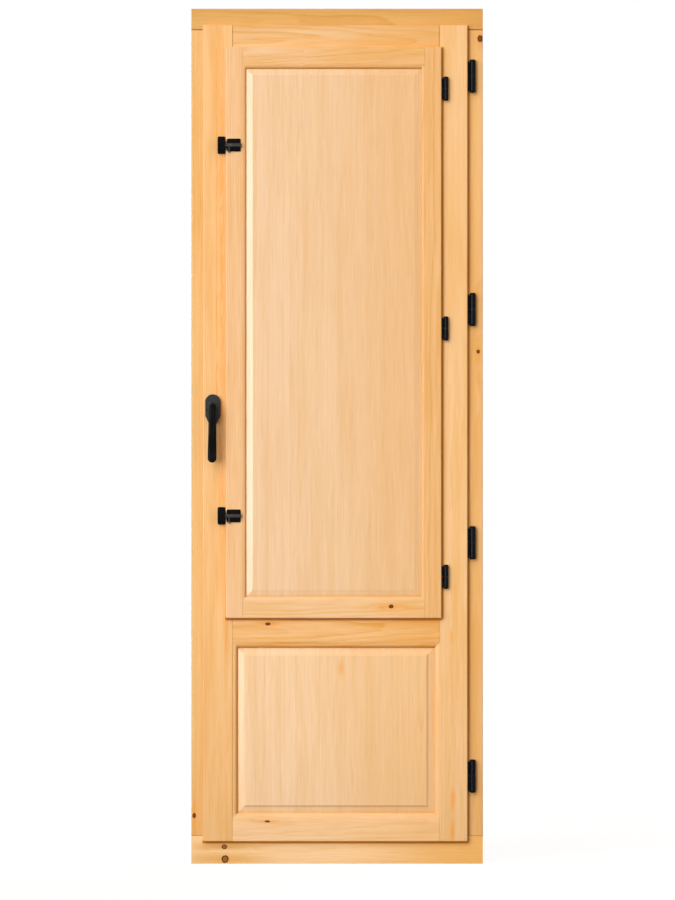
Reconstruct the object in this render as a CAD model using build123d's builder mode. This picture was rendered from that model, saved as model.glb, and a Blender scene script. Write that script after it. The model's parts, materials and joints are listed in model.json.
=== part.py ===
# Wooden balcony door set: outer frame, leaf with a raised lower panel and double glazing,
# inner shutter over the glass, barrel hinges, espagnolette with lever handle, two slide bolts.
# Millimetres. X runs to the right seen from the room, Y to the outside, Z up.
# The origin is the middle of the sill's base.
import math
import os
from build123d import *

# Outer frame
frame_w = 750.0
frame_h = 2200.0
frame_d = 70.0
lock_jamb_w = 37.6
hinge_jamb_w = 47.3
head_w = 54.0
sill_w = 71.7
stop_w = 15.0
stop_d = 24.0
frame_round = 2.5
sill_slope_h = 9.0
fixing_hole_d = 10.0
fixing_low_z = 300.0
fixing_top_drop = 300.0

# Clearances
rebate_gap = 3.0
face_gap = 1.0
panel_gap = 0.3
slide_gap = 0.3
fit_gap = 0.05
joint_gap = 0.4
overrun = 5.0

# Leaf
leaf_t = 58.0
leaf_proud = 15.0
side_lip_w = 11.0
top_lip_w = 14.0
bottom_lip_w = 17.0
lock_stile_w = 75.8
hinge_stile_w = 72.0
top_rail_w = 79.0
middle_rail_z = 569.5
middle_rail_w = 84.5
bottom_rail_w = 59.3
leaf_round = 3.0

# Moulded edge around the lower panel
stick_w = 13.5
stick_step = 2.2
stick_quirk = 2.8
stick_depth = 11.5
stick_floor = 2.5

# Lower raised panel
panel_tongue_t = 12.0
panel_tongue_setback = 13.0
panel_tongue_in = 8.0
panel_bevel_w = 15.5
panel_bevel_h = 4.5
panel_shoulder_w = 5.0
panel_shoulder_h = 3.5

# Glazing
glass_lip_w = 14.0
glass_lip_t = 8.0
glass_t = 4.0
glass_cavity = 12.0
glass_edge_gap = 3.0
spacer_w = 9.0
bead_w = 13.0
bead_d = 14.0
bead_round = 7.0

# Shutter
shutter_t = 26.0
shutter_lip_t = 13.0
shutter_lock_lap = 29.9
shutter_hinge_lap = 18.2
shutter_end_lap = 22.0
shutter_core_gap = 4.0
shutter_stile_w = 43.3
shutter_rail_w = 46.5
shutter_round = 3.0
shutter_stick_w = 9.0
shutter_stick_step = 1.4
shutter_stick_quirk = 1.6
shutter_stick_depth = 7.0
shutter_stick_floor = 1.8
shutter_tongue_t = 7.0
shutter_tongue_setback = 7.8
shutter_tongue_in = 5.5
shutter_bevel_w = 17.0
shutter_bevel_h = 3.6
shutter_back_h = 2.0

# Weather seal and weather bar
seal_inset = 4.0
seal_w = 8.0
seal_stem_w = 3.0
seal_stem_d = 5.0
weather_bar_z = 22.0
weather_bar_h = 36.0
weather_bar_d = 22.0
weather_bar_nose = 9.0
weather_bar_top = 5.0
weather_bar_round = 4.0
weather_bar_end_gap = 24.0
drip_w = 5.0

# Leaf hinges
hinge_barrel_d = 16.0
hinge_h = 86.0
hinge_offset = 12.7
hinge_face_gap = 0.6
hinge_first_z = 226.0
hinge_top_drop = 174.0
hinge_pitch = 600.0
hinge_pin_d = 7.0
hinge_pin_in = 30.0
hinge_collar_t = 1.6
hinge_cap_round = 5.0
hinge_stem_d = 8.0
hinge_stem_in = 32.0
hinge_wing_t = 5.0
hinge_wing_h = 30.0
hinge_plate_w = 11.0
hinge_plate_gap = 1.7

# Shutter hinges
small_barrel_d = 13.4
small_hinge_h = 62.5
small_offset = 11.1
small_end_z = 106.8
small_middle_drop = 10.8
small_pin_d = 5.5
small_pin_in = 22.0
small_collar_t = 1.4
small_cap_round = 4.2
small_stem_d = 6.5
small_stem_in = 26.0
small_wing_t = 4.5
small_wing_h = 22.0
small_plate_w = 9.0
small_plate_gap = 1.7

# Espagnolette: faceplate, rods, case, pinion with two racks
backset = 15.0
handle_z = 1171.0
faceplate_w = 16.0
faceplate_t = 2.5
rod_w = 8.0
rod_t = 4.0
rod_throw_out = 11.0
rod_tip = 1.5
pinion_teeth = 15
tooth_module = 1.0
tooth_addendum_share = 0.8
tooth_dedendum_share = 1.1
pressure_angle = 25.0
tooth_backlash = 0.14
rack_end = 6.0
rack_back = 3.0
bridge_h = 10.0
case_wall = 2.7
case_back_wall = 2.0
pinion_hub_d = 12.0
spindle_side = 7.0
spindle_hole_d = 14.0
quarter_turn = 90.0
keeper_plate_l = 40.0
keeper_plate_w = 18.0
keeper_plate_t = 2.5
keeper_play = 1.0
keeper_pocket_d = 16.0

# Lever handle
rose_w = 39.5
rose_top = 36.6
rose_bottom = 37.0
rose_taper_h = 19.0
rose_foot_w = 22.0
rose_d = 10.0
rose_wall = 2.0
rose_round = 2.5
rose_base_t = 6.0
neck_d = 16.0
lever_back = 30.0
lever_t = 12.4
lever_top_w = 19.6
lever_end_w = 22.8
lever_top = 14.0
lever_down = 139.0
lever_lean = 1.5
lever_round = 4.6
lever_hollow_d = 2.6
lever_hollow_top = 62.0
lever_hollow_z = 30.0
lever_end_back = 1.0
neck_foot = 5.0

# Slide bolts
latch_top_drop = 252.0
latch_bottom_rise = 263.4
latch_base_l = 35.5
latch_base_h = 33.0
latch_base_inset = 2.4
latch_plate_t = 3.0
latch_floor_t = 1.5
latch_corner = 3.5
latch_guide_h = 13.6
latch_guide_d = 8.0
bolt_w = 8.4
bolt_flange_w = 10.4
bolt_flange_t = 2.0
bolt_proud = 1.0
bolt_nose = 8.0
bolt_tail = 2.5
bolt_travel = 9.0
thumb_pin_d = 3.4
thumb_pin_in = 6.4
thumb_pin_below = 3.5
catch_w = 19.6
catch_h = 45.0
catch_foot_t = 5.0
catch_bridge_h = 25.0
catch_roof = 1.7
catch_gap = 3.9
catch_corner = 3.5
catch_tunnel = 9.5
catch_tunnel_gap = 0.6
catch_hole_d = 4.6
catch_hole_in = 6.7
catch_hole_depth = 6.0
screw_head_d = 5.4
screw_shank_d = 3.0
countersink_half_angle = 45.0
screw_shank_l = 14.0
screw_inset = 3.6
catch_screw_inset = 5.0

# Planes and lines that the pieces share
x_left = -frame_w / 2
x_right = frame_w / 2
y_front = -frame_d / 2
y_back = frame_d / 2
stop_y = y_back - stop_d
rebate_l = x_left + lock_jamb_w
rebate_r = x_right - hinge_jamb_w
rebate_b = sill_w
rebate_t = frame_h - head_w

core_l = rebate_l + rebate_gap
core_r = rebate_r - rebate_gap
core_b = rebate_b + rebate_gap
core_t = rebate_t - rebate_gap
leaf_l = core_l - side_lip_w
leaf_r = core_r + side_lip_w
leaf_b = core_b - bottom_lip_w
leaf_top = core_t + top_lip_w
leaf_front = y_front - leaf_proud
leaf_back = leaf_front + leaf_t
lip_back = y_front - face_gap
flat_l = leaf_l + lock_stile_w
flat_r = leaf_r - hinge_stile_w
lower_b = leaf_b + bottom_rail_w
lower_t = middle_rail_z
glazed_l = flat_l + stick_w
glazed_r = flat_r - stick_w
glazed_b = middle_rail_z + middle_rail_w
glazed_t = leaf_top - top_rail_w
glass_seat = leaf_back - glass_lip_t

shutter_l = glazed_l - shutter_lock_lap
shutter_r = glazed_r + shutter_hinge_lap
shutter_b = glazed_b - shutter_end_lap
shutter_top = glazed_t + shutter_end_lap
shutter_lip_back = leaf_front - face_gap
shutter_front = shutter_lip_back - shutter_lip_t
shutter_back = shutter_front + shutter_t
shutter_core_l = glazed_l + shutter_core_gap
shutter_core_r = glazed_r - shutter_core_gap
shutter_core_b = glazed_b + shutter_core_gap
shutter_core_t = glazed_t - shutter_core_gap
shutter_flat_l = shutter_l + shutter_stile_w
shutter_flat_r = shutter_r - shutter_stile_w
shutter_flat_b = shutter_b + shutter_rail_w
shutter_flat_t = shutter_top - shutter_rail_w

hinge_x = leaf_r + hinge_offset
hinge_y = y_front - hinge_face_gap - hinge_barrel_d / 2
hinge_plate_t = hinge_offset - hinge_barrel_d / 2 - hinge_plate_gap
# one hinge near each end, and more at the pitch as long as they clear the top one
hinge_top_z = frame_h - hinge_top_drop
hinge_steps = math.ceil((hinge_top_z - hinge_h - hinge_first_z) / hinge_pitch)
hinge_zs = [hinge_first_z + hinge_pitch * i for i in range(hinge_steps)] + [hinge_top_z]
small_x = shutter_r + small_offset
small_y = leaf_front - hinge_face_gap - small_barrel_d / 2
small_plate_t = small_offset - small_barrel_d / 2 - small_plate_gap
small_low_z = shutter_b + small_end_z
small_high_z = shutter_top - small_end_z
small_zs = [small_low_z, (small_low_z + small_high_z) / 2 + small_middle_drop, small_high_z]

spindle_x = core_l + backset
edge_y = (lip_back + leaf_back) / 2
pitch_r = pinion_teeth * tooth_module / 2
rod_travel = pitch_r * math.radians(quarter_turn)
tip_r = pitch_r + tooth_module * tooth_addendum_share
root_r = pitch_r - tooth_module * tooth_dedendum_share
rod_l = core_l + faceplate_t + slide_gap
rod_r = rod_l + rod_t
rod_y0 = edge_y - rod_w / 2
rod_y1 = edge_y + rod_w / 2
rack_l = spindle_x - pitch_r
rack_r = spindle_x + pitch_r
rack_back_r = rack_r + tooth_module * tooth_dedendum_share + rack_back
upper_rack_b = handle_z - rack_end
upper_rack_t = handle_z + rod_travel + rack_end
lower_rack_t = handle_z + rack_end
bridge_t = upper_rack_b - rod_travel * 2 - overrun / 2
bridge_b = bridge_t - bridge_h
case_y0 = rod_y0 - slide_gap - case_wall
case_y1 = rod_y1 + slide_gap + case_wall
case_r = rack_back_r + slide_gap + case_back_wall
case_b = bridge_b - slide_gap - case_back_wall
case_t = lower_rack_t + rod_travel + overrun
case_room_b = bridge_b - slide_gap
case_room_t = case_t - case_back_wall

latch_r = shutter_l + latch_base_inset + latch_base_l
latch_l = shutter_l + latch_base_inset
latch_front = shutter_front - latch_guide_d
catch_r = latch_l - catch_gap
catch_l = catch_r - catch_w
bolt_front = latch_front - bolt_proud
bolt_flange_y1 = shutter_front - latch_floor_t - slide_gap
bolt_flange_y0 = bolt_flange_y1 - bolt_flange_t
catch_front = bolt_front - catch_tunnel_gap - catch_roof
latch_zs = [shutter_top - latch_top_drop, shutter_b + latch_bottom_rise]
latch_screw_xs = [latch_l + screw_inset, latch_r - screw_inset]
latch_screw_zs = [latch_base_h / 2 - screw_inset, screw_inset - latch_base_h / 2]
catch_x = (catch_l + catch_r) / 2
catch_screw_zs = [catch_h / 2 - catch_screw_inset, catch_screw_inset - catch_h / 2]
thumb_pin_x = latch_l + thumb_pin_in
thumb_pin_y = (bolt_front + bolt_flange_y0) / 2
screw_head_t = (screw_head_d - screw_shank_d) / 2 / math.tan(math.radians(countersink_half_angle))
neck_y = leaf_front - lever_back
arc_share = math.sqrt(0.5)

os.makedirs("parts", exist_ok=True)


def save(part, name):
    part.label = name
    export_step(part, f"parts/{name}.step")


def level(z):
    return Plane.XY.offset(z)


def upright(y):
    # seen from the room: local x is X, local y is Z, and an extrude comes towards the room
    return Plane.XZ.offset(-y)


def across(x):
    # local x is Y, local y is Z, and an extrude runs to the right
    return Plane.YZ.offset(x)


def bar(plane, points, length):
    # one straight member: a closed section drawn on its plane, run along its length
    with BuildPart() as member:
        with BuildSketch(plane):
            with BuildLine():
                Polyline(*points, close=True)
            make_face()
        extrude(amount=length)
    return member.part


def rect(a0, a1, b0, b1):
    with Locations(((a0 + a1) / 2, (b0 + b1) / 2)):
        Rectangle(a1 - a0, b1 - b0)


def slab(x0, x1, y0, y1, z0, z1):
    with BuildPart() as piece:
        with BuildSketch(level(z0)):
            rect(x0, x1, y0, y1)
        extrude(amount=z1 - z0)
    return piece.part


def side_frame(side, x0, x1, z0, z1):
    # start corner, run direction, inward direction and length of one side of a rectangle
    table = {
        "left": ((x0, 0, z0), (0, 0, 1), (1, 0, 0), z1 - z0),
        "top": ((x0, 0, z1), (1, 0, 0), (0, 0, -1), x1 - x0),
        "right": ((x1, 0, z1), (0, 0, -1), (-1, 0, 0), z1 - z0),
        "bottom": ((x1, 0, z0), (-1, 0, 0), (0, 0, 1), x1 - x0),
    }
    return table[side]


def mitred(side, x0, x1, z0, z1, width, draw):
    # a moulded strip along one side of a rectangle, its ends cut at 45 degrees
    start, along, inward, length = side_frame(side, x0, x1, z0, z1)
    with BuildPart() as strip:
        with BuildSketch(Plane(start, x_dir=inward, z_dir=along)):
            with BuildLine():
                draw()
            make_face()
        extrude(amount=length)
        with BuildSketch(Plane(start, x_dir=along, z_dir=(0, 1, 0))):
            with BuildLine():
                Polyline((0, 0), (length, 0), (length - width, width), (width, width), close=True)
            make_face()
        extrude(amount=frame_d + leaf_t, both=True, mode=Mode.INTERSECT)
    return strip.part


def stick(front, back, width, step, quirk, depth, groove_front, groove_back, floor):
    # step, quirk and ovolo on both faces of the edge, with the panel groove between them
    run = width - quirk
    rise = depth - step
    Polyline((0, front + step), (quirk, front + step))
    ThreePointArc(
        (quirk, front + step),
        (quirk + run * arc_share, front + depth - rise * arc_share),
        (width, front + depth),
    )
    Polyline(
        (width, front + depth),
        (width, groove_front),
        (floor, groove_front),
        (floor, groove_back),
        (width, groove_back),
        (width, back - depth),
    )
    ThreePointArc(
        (width, back - depth),
        (quirk + run * arc_share, back - depth + rise * arc_share),
        (quirk, back - step),
    )
    Polyline((quirk, back - step), (0, back - step), (0, front + step))


def leaf_stick():
    tongue_front = leaf_front + panel_tongue_setback
    stick(
        leaf_front,
        leaf_back,
        stick_w,
        stick_step,
        stick_quirk,
        stick_depth,
        tongue_front - panel_gap,
        tongue_front + panel_tongue_t + panel_gap,
        stick_floor,
    )


def shutter_stick():
    tongue_front = shutter_front + shutter_tongue_setback
    stick(
        shutter_front,
        shutter_back,
        shutter_stick_w,
        shutter_stick_step,
        shutter_stick_quirk,
        shutter_stick_depth,
        tongue_front - panel_gap,
        tongue_front + shutter_tongue_t + panel_gap,
        shutter_stick_floor,
    )


def raised_panel(x0, x1, z0, z1, tongue_in, front, thick, room_steps, back_steps):
    # a tongued plate with bevelled steps rising to the field, on both faces
    with BuildPart() as panel:
        with BuildSketch(upright(front + thick)):
            rect(x0 - tongue_in, x1 + tongue_in, z0 - tongue_in, z1 + tongue_in)
        extrude(amount=thick)
        for inset, rise in [(0, 0)] + room_steps:
            with BuildSketch(upright(front - rise)):
                rect(x0 + inset, x1 - inset, z0 + inset, z1 - inset)
        loft(ruled=True)
        for inset, rise in [(0, 0)] + back_steps:
            with BuildSketch(upright(front + thick + rise)):
                rect(x0 + inset, x1 - inset, z0 + inset, z1 - inset)
        loft(ruled=True)
    return panel.part


# Outer frame: jambs between a head and a sill that run the full width
def seal_outline(stem_w, stem_y):
    middle = seal_inset + seal_w / 2
    tip_y = leaf_back + slide_gap
    Polyline(
        (seal_inset, stop_y),
        (middle - stem_w / 2, stop_y),
        (middle - stem_w / 2, stem_y),
        (middle + stem_w / 2, stem_y),
        (middle + stem_w / 2, stop_y),
        (seal_inset + seal_w, stop_y),
    )
    ThreePointArc((seal_inset + seal_w, stop_y), (middle, tip_y), (seal_inset, stop_y))


def groove_outline():
    middle = seal_inset + seal_w / 2
    half = seal_stem_w / 2 + fit_gap
    deep = stop_y + seal_stem_d + fit_gap
    Polyline((middle - half, stop_y - overrun), (middle + half, stop_y - overrun), (middle + half, deep),
             (middle - half, deep), close=True)


sides = ["left", "top", "right", "bottom"]
seal_reach = seal_inset + seal_w
with BuildPart() as seal_groove:
    for side in sides:
        add(mitred(side, rebate_l, rebate_r, rebate_b, rebate_t, seal_reach, groove_outline))

with BuildPart() as weather_seal:
    for side in sides:
        strip = mitred(
            side, rebate_l, rebate_r, rebate_b, rebate_t, seal_reach,
            lambda: seal_outline(seal_stem_w, stop_y + seal_stem_d),
        )
        add(strip)
save(weather_seal.part, "weather_seal")


def jamb_section(outer, width, inward):
    rebate = outer + inward * width
    stop = rebate + inward * stop_w
    return [(outer, y_front), (rebate, y_front), (rebate, stop_y), (stop, stop_y), (stop, y_back),
            (outer, y_back)]


jamb_l = rebate_t - rebate_b - joint_gap * 2
fixing_y = (y_front + stop_y) / 2
fixing_places = [(fixing_y, fixing_low_z), (fixing_y, frame_h - fixing_top_drop)]

with BuildPart() as left_jamb:
    add(bar(level(rebate_b + joint_gap), jamb_section(x_left, lock_jamb_w, 1), jamb_l))
    fillet(left_jamb.faces().sort_by(Axis.Y)[0].edges().filter_by(Axis.Z), frame_round)
    fillet(left_jamb.faces().sort_by(Axis.Y)[-1].edges().filter_by(Axis.Z), frame_round)
    add(seal_groove.part, mode=Mode.SUBTRACT)
    with BuildSketch(across(x_left - overrun)):
        with Locations(*fixing_places):
            Circle(fixing_hole_d / 2)
    extrude(amount=lock_jamb_w + overrun * 2, mode=Mode.SUBTRACT)
save(left_jamb.part, "frame_left_jamb")

with BuildPart() as right_jamb:
    add(bar(level(rebate_b + joint_gap), jamb_section(x_right, hinge_jamb_w, -1), jamb_l))
    fillet(right_jamb.faces().sort_by(Axis.Y)[0].edges().filter_by(Axis.Z), frame_round)
    fillet(right_jamb.faces().sort_by(Axis.Y)[-1].edges().filter_by(Axis.Z), frame_round)
    add(seal_groove.part, mode=Mode.SUBTRACT)
    with BuildSketch(across(rebate_r - overrun)):
        with Locations(*fixing_places):
            Circle(fixing_hole_d / 2)
    extrude(amount=hinge_jamb_w + overrun * 2, mode=Mode.SUBTRACT)
    for z in hinge_zs:
        with BuildSketch(upright(y_front - overrun)):
            with Locations((hinge_x, z - hinge_h / 4)):
                Circle(hinge_stem_d / 2 + fit_gap)
        extrude(amount=-(overrun + hinge_stem_in + slide_gap), mode=Mode.SUBTRACT)
save(right_jamb.part, "frame_right_jamb")

# The rods' keepers are let into the head and the sill over a pocket for the rod's end
rod_x = (rod_l + rod_r) / 2
keeper_x0 = rebate_l + slide_gap
keeper_x1 = keeper_x0 + keeper_plate_l
keeper_hole_l = rod_t + keeper_play * 2
keeper_hole_w = rod_w + keeper_play * 2
keeper_y0 = edge_y - keeper_plate_w / 2
keeper_y1 = edge_y + keeper_plate_w / 2

with BuildPart() as head:
    add(slab(x_left, x_right, y_front, y_back, rebate_t, frame_h))
    fillet(head.faces().sort_by(Axis.Y)[0].edges().filter_by(Axis.X), frame_round)
    fillet(head.faces().sort_by(Axis.Y)[-1].edges().filter_by(Axis.X).sort_by(Axis.Z)[-1], frame_round)
    add(slab(rebate_l + stop_w, rebate_r - stop_w, stop_y, y_back, rebate_t - stop_w, rebate_t))
    add(seal_groove.part, mode=Mode.SUBTRACT)
    add(slab(keeper_x0, keeper_x1, keeper_y0, keeper_y1, rebate_t - overrun, rebate_t + keeper_plate_t),
        mode=Mode.SUBTRACT)
    with BuildSketch(level(rebate_t)):
        with Locations((rod_x, edge_y)):
            Rectangle(keeper_hole_l, keeper_hole_w)
    extrude(amount=keeper_pocket_d, mode=Mode.SUBTRACT)
save(head.part, "frame_head")

sill_top = rebate_b + stop_w
with BuildPart() as sill:
    add(slab(x_left, x_right, y_front, y_back, 0, rebate_b))
    fillet(sill.faces().sort_by(Axis.Y)[0].edges().filter_by(Axis.X).sort_by(Axis.Z)[-1], frame_round)
    add(bar(
        across(rebate_l + stop_w),
        [(stop_y, rebate_b), (stop_y, sill_top), (stop_y + seal_stem_d, sill_top),
         (y_back, sill_top - sill_slope_h), (y_back, rebate_b)],
        rebate_r - rebate_l - stop_w * 2,
    ))
    add(seal_groove.part, mode=Mode.SUBTRACT)
    add(slab(keeper_x0, keeper_x1, keeper_y0, keeper_y1, rebate_b - keeper_plate_t, rebate_b + overrun),
        mode=Mode.SUBTRACT)
    with BuildSketch(level(rebate_b)):
        with Locations((rod_x, edge_y)):
            Rectangle(keeper_hole_l, keeper_hole_w)
    extrude(amount=-keeper_pocket_d, mode=Mode.SUBTRACT)
save(sill.part, "frame_sill")


def rod_keeper(z0):
    with BuildPart() as plate:
        add(slab(keeper_x0, keeper_x1, keeper_y0, keeper_y1, z0, z0 + keeper_plate_t))
        with BuildSketch(level(z0)):
            with Locations((rod_x, edge_y)):
                Rectangle(keeper_hole_l, keeper_hole_w)
        extrude(amount=keeper_plate_t, mode=Mode.SUBTRACT)
    return plate.part


save(rod_keeper(rebate_t), "upper_rod_keeper")
save(rod_keeper(rebate_b - keeper_plate_t), "lower_rod_keeper")


# Barrel hinges: the lower knuckle is screwed into the fixed side and carries the pin,
# the upper knuckle, on a plate as tall as the hinge, is screwed into the edge of the moving side
# and lifts off it
def fixed_half(x, y, z, barrel_d, height, collar, pin_d, pin_in, cap_round, stem_d, stem_end):
    top = z - collar / 2
    bottom = z - height / 2
    with BuildPart() as half:
        with BuildSketch(level(bottom)):
            with Locations((x, y)):
                Circle(barrel_d / 2)
        extrude(amount=top - bottom)
        fillet(half.edges().group_by(Axis.Z)[0], cap_round)
        with BuildSketch(upright(y)):
            with Locations((x, z - height / 4)):
                Circle(stem_d / 2)
        extrude(amount=y - stem_end)
        with BuildSketch(level(top)):
            with Locations((x, y)):
                Circle(pin_d / 2 + fit_gap)
        extrude(amount=-pin_in, mode=Mode.SUBTRACT)
    return half.part


def lifting_half(x, y, z, barrel_d, height, collar, pin_d, pin_in, cap_round, stem_d, stem_end, edge, wing,
                 plate):
    wing_t, wing_h = wing
    plate_t, plate_w = plate
    top = z + height / 2
    bottom = z + collar / 2 + slide_gap
    with BuildPart() as half:
        with BuildSketch(level(bottom)):
            with Locations((x, y)):
                Circle(barrel_d / 2)
        extrude(amount=top - bottom)
        fillet(half.edges().group_by(Axis.Z)[-1], cap_round)
        with BuildSketch(across(x)):
            with Locations((y, z + height / 4)):
                Circle(stem_d / 2)
        extrude(amount=stem_end - x)
        wing_z = z + height / 4
        add(slab(edge, x, y - wing_t / 2, y + wing_t / 2, wing_z - wing_h / 2, wing_z + wing_h / 2))
        add(slab(edge, edge + plate_t, y - plate_w / 2, y + plate_w / 2, z - height / 2 + cap_round,
                 top - cap_round))
        with BuildSketch(level(bottom)):
            with Locations((x, y)):
                Circle(pin_d / 2 + fit_gap)
        extrude(amount=pin_in, mode=Mode.SUBTRACT)
    return half.part


def hinge_pins(x, y, zs, barrel_d, collar, pin_d, pin_in):
    with BuildPart() as pins:
        for z in zs:
            low = z - collar / 2
            with BuildSketch(level(low - pin_in + slide_gap)):
                with Locations((x, y)):
                    Circle(pin_d / 2)
            extrude(amount=pin_in * 2 + collar - slide_gap)
            with BuildSketch(level(low)):
                with Locations((x, y)):
                    Circle(barrel_d / 2 - fit_gap * 4)
            extrude(amount=collar)
    return pins.part


for number, z in enumerate(hinge_zs, 1):
    save(
        fixed_half(hinge_x, hinge_y, z, hinge_barrel_d, hinge_h, hinge_collar_t, hinge_pin_d, hinge_pin_in,
                   hinge_cap_round, hinge_stem_d, y_front + hinge_stem_in),
        f"leaf_hinge_{number}_frame_half",
    )
    save(
        lifting_half(hinge_x, hinge_y, z, hinge_barrel_d, hinge_h, hinge_collar_t, hinge_pin_d, hinge_pin_in,
                     hinge_cap_round, hinge_stem_d, leaf_r - hinge_stem_in, leaf_r,
                     (hinge_wing_t, hinge_wing_h), (hinge_plate_t, hinge_plate_w)),
        f"leaf_hinge_{number}_leaf_half",
    )
save(
    hinge_pins(hinge_x, hinge_y, hinge_zs, hinge_barrel_d, hinge_collar_t, hinge_pin_d, hinge_pin_in),
    "leaf_hinge_pins",
)
for number, z in enumerate(small_zs, 1):
    save(
        fixed_half(small_x, small_y, z, small_barrel_d, small_hinge_h, small_collar_t, small_pin_d,
                   small_pin_in, small_cap_round, small_stem_d, leaf_front + small_stem_in),
        f"shutter_hinge_{number}_leaf_half",
    )
    save(
        lifting_half(small_x, small_y, z, small_barrel_d, small_hinge_h, small_collar_t, small_pin_d,
                     small_pin_in, small_cap_round, small_stem_d, shutter_r - small_stem_in, shutter_r,
                     (small_wing_t, small_wing_h), (small_plate_t, small_plate_w)),
        f"shutter_hinge_{number}_shutter_half",
    )
save(
    hinge_pins(small_x, small_y, small_zs, small_barrel_d, small_collar_t, small_pin_d, small_pin_in),
    "shutter_hinge_pins",
)


# Leaf: stiles the full height, rails between them, moulded edges mitred around the lower panel
def leaf_edge(side):
    return mitred(side, flat_l, flat_r, lower_b, lower_t, stick_w, leaf_stick)


def stile_section(outer, core, flat):
    return [(outer, leaf_front), (flat, leaf_front), (flat, leaf_back), (core, leaf_back), (core, lip_back),
            (outer, lip_back)]


def glazed_edge(flat, inward):
    # the stile's rebate beside the glass: full thickness at the room side, a thin lip outside
    edge = flat + inward * stick_w
    lip = edge + inward * glass_lip_w
    x0, x1 = sorted([flat, edge])
    lip_x0, lip_x1 = sorted([edge, lip])
    with BuildPart() as rebate:
        add(slab(x0, x1, leaf_front, leaf_back, glazed_b, glazed_t))
        add(slab(lip_x0, lip_x1, glass_seat, leaf_back, glazed_b + glass_lip_w, glazed_t - glass_lip_w))
    return rebate.part


def stile_ends():
    # the core stops short of the lip at the head and at the sill
    with BuildPart() as ends:
        add(slab(x_left, x_right, lip_back, leaf_back + overrun, core_t, leaf_top + overrun))
        add(slab(x_left, x_right, lip_back, leaf_back + overrun, leaf_b - overrun, core_b))
    return ends.part


def screw_pilots(xs, zs, face, length):
    with BuildPart() as pilots:
        with BuildSketch(upright(face)):
            with Locations(*[(x, z) for x in xs for z in zs]):
                Circle(screw_shank_d / 2 + fit_gap)
        extrude(amount=-length)
    return pilots.part


channel_r = rod_r + slide_gap
channel_y0 = rod_y0 - slide_gap
channel_y1 = rod_y1 + slide_gap
plate_y0 = edge_y - faceplate_w / 2
plate_y1 = edge_y + faceplate_w / 2
catch_zs = [z + d for z in latch_zs for d in catch_screw_zs]
catch_shank_end = leaf_front + screw_shank_l

with BuildPart() as lock_stile:
    add(bar(level(leaf_b), stile_section(leaf_l, core_l, flat_l), leaf_top - leaf_b))
    fillet(lock_stile.faces().sort_by(Axis.Y)[0].edges().sort_by(Axis.X)[:-1], leaf_round)
    add(stile_ends(), mode=Mode.SUBTRACT)
    add(leaf_edge("left"))
    add(glazed_edge(flat_l, 1))
    add(slab(core_l - overrun, core_l + faceplate_t, plate_y0, plate_y1, core_b, core_t), mode=Mode.SUBTRACT)
    add(slab(core_l - overrun, channel_r, channel_y0, channel_y1, core_b - overrun, core_t + overrun),
        mode=Mode.SUBTRACT)
    add(slab(core_l - overrun, case_r + fit_gap, case_y0 - fit_gap, case_y1 + fit_gap, case_b - fit_gap,
             case_t + fit_gap), mode=Mode.SUBTRACT)
    with BuildSketch(upright(leaf_front)):
        with Locations((spindle_x, handle_z)):
            Circle(spindle_hole_d / 2)
    extrude(amount=leaf_front - edge_y, mode=Mode.SUBTRACT)
    add(screw_pilots([catch_x], catch_zs, leaf_front, screw_shank_l), mode=Mode.SUBTRACT)
save(lock_stile.part, "leaf_lock_stile")

with BuildPart() as hinge_stile:
    add(bar(level(leaf_b), stile_section(leaf_r, core_r, flat_r), leaf_top - leaf_b))
    fillet(hinge_stile.faces().sort_by(Axis.Y)[0].edges().sort_by(Axis.X)[1:], leaf_round)
    add(stile_ends(), mode=Mode.SUBTRACT)
    add(leaf_edge("right"))
    add(glazed_edge(flat_r, -1))
    with BuildSketch(across(leaf_r + overrun)):
        with Locations(*[(hinge_y, z + hinge_h / 4) for z in hinge_zs]):
            Circle(hinge_stem_d / 2 + fit_gap)
    extrude(amount=-(overrun + hinge_stem_in + slide_gap), mode=Mode.SUBTRACT)
    with BuildSketch(upright(leaf_front)):
        with Locations(*[(small_x, z - small_hinge_h / 4) for z in small_zs]):
            Circle(small_stem_d / 2 + fit_gap)
    extrude(amount=-(small_stem_in + slide_gap), mode=Mode.SUBTRACT)
save(hinge_stile.part, "leaf_hinge_stile")

rail_l = flat_l + joint_gap
rail_r = flat_r - joint_gap
with BuildPart() as top_rail:
    add(bar(
        across(rail_l),
        [(leaf_front, glazed_t), (leaf_front, leaf_top), (lip_back, leaf_top), (lip_back, core_t),
         (leaf_back, core_t), (leaf_back, glazed_t)],
        rail_r - rail_l,
    ))
    fillet(top_rail.faces().sort_by(Axis.Y)[0].edges().sort_by(Axis.Z)[-1], leaf_round)
    add(slab(glazed_l, glazed_r, glass_seat, leaf_back, glazed_t - glass_lip_w, glazed_t))
save(top_rail.part, "leaf_top_rail")

with BuildPart() as middle_rail:
    add(slab(rail_l, rail_r, leaf_front, leaf_back, middle_rail_z, glazed_b))
    add(leaf_edge("top"))
    add(slab(glazed_l, glazed_r, glass_seat, leaf_back, glazed_b, glazed_b + glass_lip_w))
save(middle_rail.part, "leaf_middle_rail")

with BuildPart() as bottom_rail:
    add(bar(
        across(rail_l),
        [(leaf_front, leaf_b), (leaf_front, lower_b), (leaf_back, lower_b), (leaf_back, core_b),
         (lip_back, core_b), (lip_back, leaf_b)],
        rail_r - rail_l,
    ))
    fillet(bottom_rail.faces().sort_by(Axis.Y)[0].edges().sort_by(Axis.Z)[0], leaf_round)
    add(leaf_edge("bottom"))
save(bottom_rail.part, "leaf_bottom_rail")

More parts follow.
